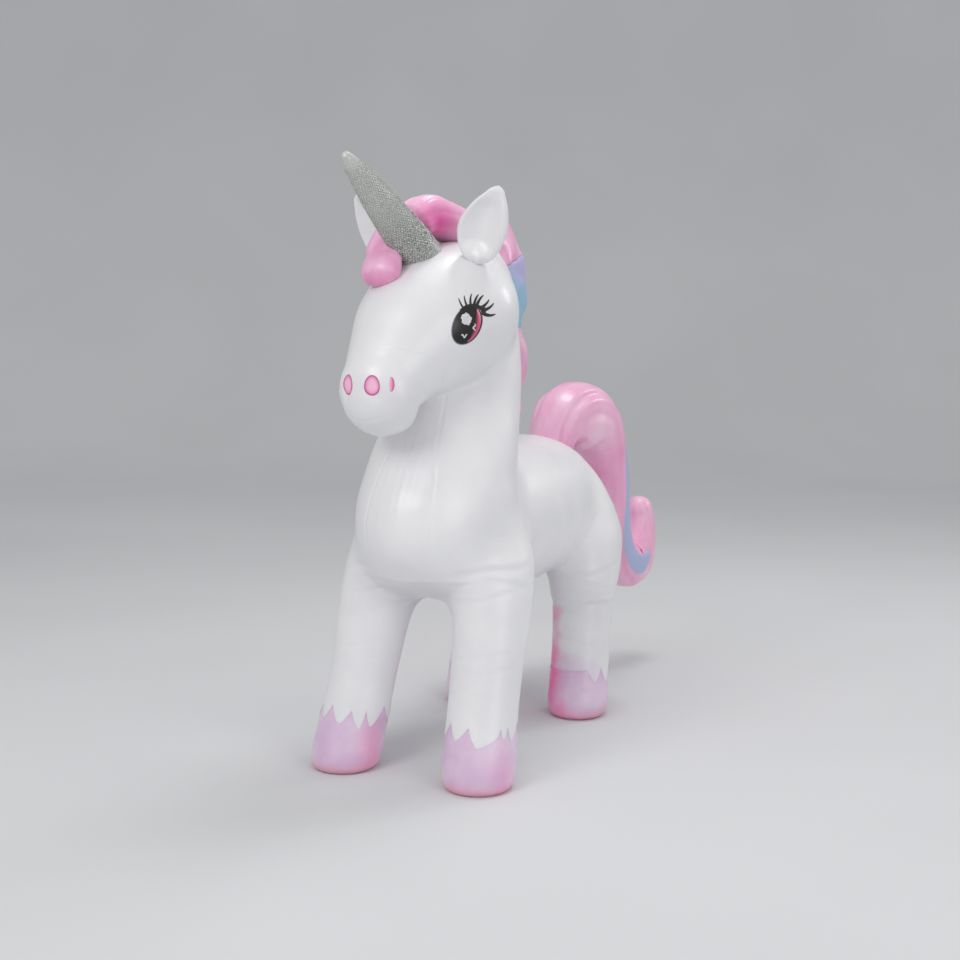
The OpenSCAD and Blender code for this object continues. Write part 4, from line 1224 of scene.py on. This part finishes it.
def add_ears():
    white = bpy.data.materials["white_film_pvc"]
    for name, side in SIDES.items():
        foot = np.mean([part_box(f"ear_{name}_front"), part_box(f"ear_{name}_back")], axis=(0, 1)) - HOME
        up = turned_way(np.array([side * 0.4, -0.2, 0.894]))
        across = turned_way(np.array([0.86 * side, 0.45, -0.24]))
        through = unit(np.cross(across, up)) * side
        up = unit(up)
        foot = foot - up * EAR_BOX / 2 + np.array(EAR_SHIFT[name])
        rows = np.array(EAR)
        share = closing_shares(-0.10, 50, 0.1)
        row = smooth_rows(rows, share, rows[:, 0])
        for part in ("front", "back"):
            angle = np.linspace(0, np.pi, 49)[None]
            c, s = np.cos(angle), np.sin(angle)
            t = share[:, None]
            fold = ease(0.22, 0.0, t) * 0.12 * np.sin(6 * c + 0.6) * s
            if part == "front":
                cup = np.clip(1 - ((c + 0.06) / 0.80) ** 2, 0, 1) ** 1.1
                depth = 0.80 * s ** 0.5 - 1.05 * cup * ease(-0.02, 0.24, t) * ease(1.02, 0.66, t) + fold
            else:
                depth = -0.95 * s ** 0.7 + 0.15 * fold
            x = EAR_LEAN[name] * row[:, 1, None] + row[:, 2, None] * c * (1 + 0.015 * np.sin(9 * t))
            curl = 0.012 * (t - 0.3) ** 2
            points = (foot + up * t[..., None] * EAR_LENGTH + across * x[..., None]
                      + through * (row[:, 3, None] * depth - curl)[..., None])
            faces = tri(grid_faces(len(share), 49, False))
            if (part == "front") != (side > 0):
                faces = faces[:, ::-1]
            if part == "back":
                faces = faces[:, ::-1]
            flat = points.reshape(-1, 3)
            normal = vertex_normals(flat, faces)
            wanted = through if part == "front" else -through
            if (normal @ wanted).sum() < 0:
                faces, normal = faces[:, ::-1], -normal
            obj = mesh_object(f"ear_{name}_{part}_film", flat, faces, white, normal)
            placed(obj, "white_film", f"ear_{name}_{part}")


# Up the horn: share of its length, share of its radius
HORN = [(-0.10, 1.05), (0.00, 1.00), (0.12, 0.950), (0.28, 0.870), (0.45, 0.775), (0.62, 0.655),
        (0.78, 0.505), (0.90, 0.355), (0.965, 0.235), (0.992, 0.130), (1.00, 0.015)]
HORN_BASE = np.array([-0.0300, -0.2465, 1.2440])
HORN_WAY = np.array([0.024, -0.806, 0.592])
HORN_LENGTH, HORN_RADIUS = 0.316, 0.051


def horn_points(share, angle, lift=0.0):
    way = unit(turned_way(HORN_WAY))
    side = turned_way(X)
    up = np.cross(side, way)
    rows = np.array(HORN)
    size = smooth_rows(rows[:, 1:], np.clip(share, rows[0, 0], 1), rows[:, 0])[:, 0] * HORN_RADIUS + lift
    out = side * np.cos(angle)[:, None] + up * np.sin(angle)[:, None]
    return HORN_BASE + way * (share * HORN_LENGTH)[:, None] + out * size[:, None], out, way


def add_horn():
    look = Film("horn_film", 0.42, 0.8, Metallic=0.15, Coat_Weight=0.1, Coat_Roughness=0.3)
    weave = look.noise(420, 2)
    shade = look.ramp(weave, [(0.35, tint(182, 186, 181)), (0.62, tint(208, 211, 206))])
    dark = look.ramp(look.noise(240, 3), [(0.40, tint(130, 134, 131)), (0.58, tint(190, 194, 190))])
    near = look.math("MULTIPLY_ADD", look.noise(60, 3), 0.05, look.away(HORN_BASE))
    material = look.colour(look.mix(look.ramp(near, [(0.10, 1.0), (0.19, 0.0)]), shade, dark))
    share = closing_shares(-0.12, 70, 0.08)
    grid = np.stack([horn_points(np.full(len(ROUND), s), ROUND)[0] for s in share])
    points, faces, normals = closed_rings(grid)
    placed(mesh_object("horn_cone", points, faces, material, normals), "horn_film", "horn")
    add_sequins()


SEQUIN_STEP = 0.0062
SEQUIN_RADIUS = 0.0029


def add_sequins():
    """Small domed discs in rows round the horn, loose and tilted near its foot."""
    rng = np.random.default_rng(21)
    share, angle, tilt, size = [], [], [], []
    rows = int(0.93 * HORN_LENGTH / (SEQUIN_STEP * 0.87))
    for i in range(rows):
        s = -0.03 + 0.93 * i / rows
        radius = np.interp(s, *np.array(HORN).T) * HORN_RADIUS
        count = max(int(2 * np.pi * radius / SEQUIN_STEP), 6)
        loose = float(ease(0.62, 0.05, s))
        a = (np.arange(count) + 0.5 * (i % 2)) / count * 2 * np.pi
        share.append(s + rng.normal(0, 0.0035, count) * loose)
        angle.append(a + rng.normal(0, 0.010, count) * loose)
        tilt.append(rng.normal(0, 0.04 + 0.46 * loose ** 2, (count, 2)))
        size.append(SEQUIN_RADIUS * (0.80 + 0.20 * loose) * rng.uniform(0.85, 1.10, count))
    share, angle = np.concatenate(share), np.concatenate(angle)
    tilt, size = np.concatenate(tilt), np.concatenate(size)
    centre, out, way = horn_points(share, angle, 0.0007)
    keep = skin(centre) > -0.001
    centre, out, tilt, size = centre[keep], out[keep], tilt[keep], size[keep]
    along = unit(way - (out @ way)[:, None] * out)
    side = np.cross(along, out)
    normal = unit(out + along * (0.06 + tilt[:, :1]) + side * tilt[:, 1:])
    u = unit(along - (along * normal).sum(1, keepdims=True) * normal)
    v = np.cross(normal, u)
    turn = np.linspace(0, 2 * np.pi, 8, endpoint=False)
    ring = (centre[:, None] + size[:, None, None] * (np.cos(turn)[None, :, None] * u[:, None]
                                                    + np.sin(turn)[None, :, None] * v[:, None]))
    top = centre + normal * 0.0007
    low = centre - normal * 0.0003
    block = np.concatenate([ring, top[:, None], low[:, None]], 1)
    k = np.arange(8)
    faces = np.concatenate([np.stack([k, (k + 1) % 8, np.full(8, 8)], 1),
                            np.stack([(k + 1) % 8, k, np.full(8, 9)], 1)])
    faces = (faces[None] + (np.arange(len(block)) * 10)[:, None, None]).reshape(-1, 3)
    look = Film("sequin_film", 0.34, 0, Metallic=0.25, Specular_IOR_Level=0.7)
    shade = look.ramp(look.noise(300, 1), [(0.34, tint(188, 191, 187)), (0.50, tint(212, 214, 210)),
                                           (0.68, tint(232, 234, 230))])
    obj = mesh_object("horn_sequins", block.reshape(-1, 3), faces, look.colour(shade))
    placed(obj, "horn_film")


add_ears()
add_horn()


# ---- Prints laid on the skin -------------------------------------------------------------

def face_frame(a, u, v, way, side):
    """Middle, across (outwards), up and normal of a print, from its place on the head."""
    start = HEAD.origin + HEAD.along * a + HEAD.across * u + HEAD.depth * v
    p, n = start[None], None
    for _ in range(3):
        p, n = on_skin(p, way)
    up = unit(Z - (Z @ n[0]) * n[0])
    vectors = [p[0], np.cross(up, n[0]), up, n[0]]
    if side < 0:
        flip = [2 * ((v - (HEAD.origin if i == 0 else 0)) @ HEAD.across) * HEAD.across
                for i, v in enumerate(vectors)]
        vectors = [v - f for v, f in zip(vectors, flip)]
    return vectors


def laid(place, uv, lift):
    """Points of a flat print, in millimetres across and up, laid on the skin."""
    centre, across, up, normal = place
    flat = uv.reshape(-1, 2) / 1000
    p, n = on_skin(centre + flat[:, :1] * across + flat[:, 1:] * up, normal)
    return p + n * np.reshape(lift, (-1, 1))


def add_print(name, place, grid, lift, material, slot, value=None, closed=True, nodes=()):
    """A thin film patch: a grid of flat points whose outer edge is turned down to the skin."""
    rows, columns = grid.shape[:2]
    raise_by = np.full((rows, columns), lift / 1000)
    raise_by[-1] = -0.0005
    if not closed:
        raise_by[0], raise_by[:, 0], raise_by[:, -1] = -0.0005, -0.0005, -0.0005
    points = laid(place, grid, raise_by.ravel())
    faces = tri(grid_faces(rows, columns, closed))
    if closed:
        k = np.arange(columns)
        points = np.concatenate([points, points[:columns].mean(0)[None]])
        fan = np.stack([(k + 1) % columns, k, np.full(columns, len(points) - 1)], 1)
        faces = np.concatenate([faces, fan])
    normal = vertex_normals(points, faces)
    if (normal @ place[3]).sum() < 0:
        faces, normal = faces[:, ::-1], -normal
    obj = mesh_object(name, points, faces, material, normal)
    if value is not None:
        give_values(obj, "soft", np.concatenate([value.ravel(), [value[0].mean()] if closed else []]))
    return placed(obj, slot, *nodes)


EYE_PLACE = (0.302, 0.162, 0.0566)
EYE_ACROSS, EYE_UP = np.array([41.7, 5.9]), np.array([8.5, 43.8])
EYE_MIDDLE = np.array([2.5, 0.0])
# Lashes: angle of the root round the eye, way it points, length, bend
LASHES = [(112, 106, 25, -3), (98, 92, 26, -3), (84, 70, 31, -4), (71, 54, 35, -4), (60, 46, 41, -5),
          (50, 32, 45, 6), (42, 22, 52, 9), (36, -4, 49, 10)]


def eye_point(angle, share=1.0):
    a = np.radians(np.asarray(angle, float))[..., None]
    spoke = np.cos(a) * EYE_ACROSS + np.sin(a) * EYE_UP
    return EYE_MIDDLE + np.reshape(share, np.shape(share) + (1,)) * spoke


def stroke(line, half):
    """A ribbon of points along a line, as wide as half on each side."""
    across = np.array([-1.0, -0.9, 0.0, 0.9, 1.0])
    return line[:, None] + across[None, :, None] * np.asarray(half)[:, None, None] * left_of(line)[:, None]


def print_look(name, stops, roughness=0.30):
    f = Film(name, roughness, 0.6, **GLOSS)
    grain = f.math("MULTIPLY_ADD", f.noise(160, 2), 0.08, f.attribute("soft"))
    return f.colour(f.ramp(f.math("SUBTRACT", grain, 0.04), stops))


def add_eyes():
    black = print_look("eye_black_ink", [(0.0, tint(226, 226, 229)), (0.45, tint(120, 120, 124)),
                                         (0.95, tint(9, 9, 11))])
    ink = plain_film("lash_ink", tint(10, 10, 12), tint(26, 25, 28), 0.32)
    pale = plain_film("eye_shine_ink", tint(205, 206, 208), tint(236, 236, 238), 0.34, 300)
    berry = print_look("eye_crescent_ink", [(0.0, tint(40, 10, 20)), (0.35, tint(196, 62, 102)),
                                            (0.75, tint(222, 92, 130)), (1.0, tint(250, 176, 198))])
    ring = np.linspace(0, 360, 73)[:-1]
    for name, side in SIDES.items():
        place = face_frame(*EYE_PLACE, HEAD.across, side)
        share = np.array([0.12, 0.3, 0.5, 0.7, 0.85, 0.93, 0.97, 1.01, 1.04, 1.055])[:, None]
        soft = np.broadcast_to(ease(1.05, 0.95, share), (10, 72))
        add_print(f"eye_{name}_oval", place, eye_point(ring[None], share), 0.5, black, "eye_print", soft,
                  nodes=[f"eye_{name}"])
        turn = np.linspace(58, -84, 25)
        s = np.linspace(0, 1, 25)
        wide = 0.52 * np.sin(np.pi * s ** 0.85) ** 0.8 + 0.015
        across = np.linspace(0, 1, 7)[:, None]
        inner = 0.955 - wide
        grid = eye_point(turn[None], inner + (0.955 - inner) * across)
        glow = ease(0.15, 0.7, across) * (0.75 + 0.25 * ease(0.5, 0.0, s)[None])
        add_print(f"eye_{name}_crescent", place, grid, 0.9, berry, "eye_print", glow, closed=False)
        spot = np.radians(ring)
        wobble = 14.0 * (1 + 0.07 * np.sin(5 * spot + 1) + 0.05 * np.sin(9 * spot))
        circle = np.stack([np.cos(spot), np.sin(spot)], 1) * wobble[:, None]
        rings = np.array([0.2, 0.5, 0.8, 0.96, 1.0])[:, None, None]
        add_print(f"eye_{name}_shine", place, np.array([-1.0, 13.0]) + rings * circle[None], 1.2, pale,
                  "eye_print")
        t = np.linspace(0, 1, 25)
        curl = np.stack([20 + 3.2 * np.sin(8 * t), 3 - 17 * t], 1)
        loop = np.stack([-16 + 17 * t, -25 + 3.4 * np.sin(9 * t)], 1)
        for n, line in enumerate((curl, loop)):
            half = 1.9 * np.sin(np.pi * (0.08 + 0.84 * t))
            add_print(f"eye_{name}_glint_{n + 1}", place, stroke(line, half), 1.2, pale, "eye_print",
                      closed=False)
        lid_angle = np.linspace(128, 30, 30)
        flick = np.linspace(0, 1, 30)[:, None] ** 5 * np.array([16, 6])
        lid = eye_point(lid_angle, np.full(30, 1.02)) + flick
        add_print(f"eye_{name}_lid", place, stroke(lid, 1.4 + 4.8 * np.linspace(0, 1, 30) ** 1.2), 0.9, ink,
                  "eye_print", closed=False)
        for n, (root, way, length, bend) in enumerate(LASHES):
            t = np.linspace(0, 1, 15)
            way = np.radians(way)
            head = np.array([np.cos(way), np.sin(way)])
            line = eye_point(np.full(15, float(root))) + length * t[:, None] * head \
                + bend * (t * t - t)[:, None] * 4 * np.array([head[1], -head[0]]) * -0.6
            half = (2.4 + 0.42 * n) * (1 - t) ** 0.6 + 0.25
            add_print(f"eye_{name}_lash_{n + 1}", place, stroke(line, half), 0.8, ink, "eye_print",
                      closed=False)


def add_nostrils():
    oval = print_look("nostril_ink", [(0.0, tint(235, 205, 220)), (0.10, tint(176, 70, 120)),
                                      (0.22, tint(214, 96, 160)), (0.42, tint(246, 160, 206)),
                                      (0.9, tint(252, 196, 226))])
    side_ink = print_look("nostril_crescent_ink", [(0.0, tint(245, 222, 234)), (0.55, tint(240, 150, 196)),
                                                   (0.85, tint(205, 74, 136)), (1.0, tint(150, 50, 96))])
    ring = np.radians(np.linspace(0, 360, 65)[:-1])
    share = np.array([0.1, 0.3, 0.5, 0.65, 0.78, 0.88, 0.95, 1.0])[:, None]
    for name, side in SIDES.items():
        place = face_frame(0.5400, 0.0380, 0.078, HEAD.depth, side)
        egg = np.stack([19.5 * np.cos(ring) * (1 - 0.10 * np.sin(ring)), 24.0 * np.sin(ring)], 1)
        rim = 0.92 + 0.10 * np.cos(ring - 0.5)[None]
        inside = np.clip((1 - share) / 0.55 * rim, 0, 1)
        add_print(f"nostril_{name}_print", place, share[..., None] * egg[None], 0.5, oval,
                  "nostril_print", inside, nodes=["nostril_prints"] if side > 0 else ())
        place = face_frame(0.518, 0.0735, 0.070, unit(HEAD.depth + HEAD.across), side)
        t = np.linspace(-1, 1, 21)
        outer = 11.0 * np.sqrt(1 - t * t * 0.999)
        inner = -5.0 * (1 - t * t)
        across = np.linspace(0, 1, 8)[:, None]
        grid = np.stack([inner + (outer - inner) * across, np.broadcast_to(17.5 * t, (8, 21))], -1)
        add_print(f"nostril_{name}_crescent", place, grid, 0.5, side_ink, "nostril_print",
                  np.broadcast_to(across, (8, 21)), closed=False)


add_eyes()
add_nostrils()


# ---- Moulded valves and inner bulkheads --------------------------------------------------

def add_fittings():
    """The CAD's own valves and bulkheads keep their shape and get their finish."""
    hard = dict(Coat_Weight=0.35, Coat_Roughness=0.12)
    clear = plain_film("valve_white_pvc", tint(222, 223, 226), tint(236, 237, 240), 0.28, 60, **hard)
    rose = plain_film("valve_pink_pvc", tint(224, 148, 190), tint(240, 176, 212), 0.28, 60, **hard)
    flap = plain_film("valve_flap_film", tint(206, 208, 212), tint(226, 228, 232), 0.32, 60)
    inner = plain_film("bulkhead_film", WHITE_LOW, WHITE, 0.40, 12)
    finishes = {"neck_bulkhead": inner, "tail_bulkhead": inner}
    for valve, look in (("body", clear), ("head", clear), ("tail", rose)):
        for part, finish in (("flange", look), ("stem", look), ("cap", look), ("flap", flap)):
            finishes[f"{valve}_valve_{part}"] = finish
    for node, finish in finishes.items():
        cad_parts[node].data.materials.clear()
        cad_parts[node].data.materials.append(finish)


add_fittings()
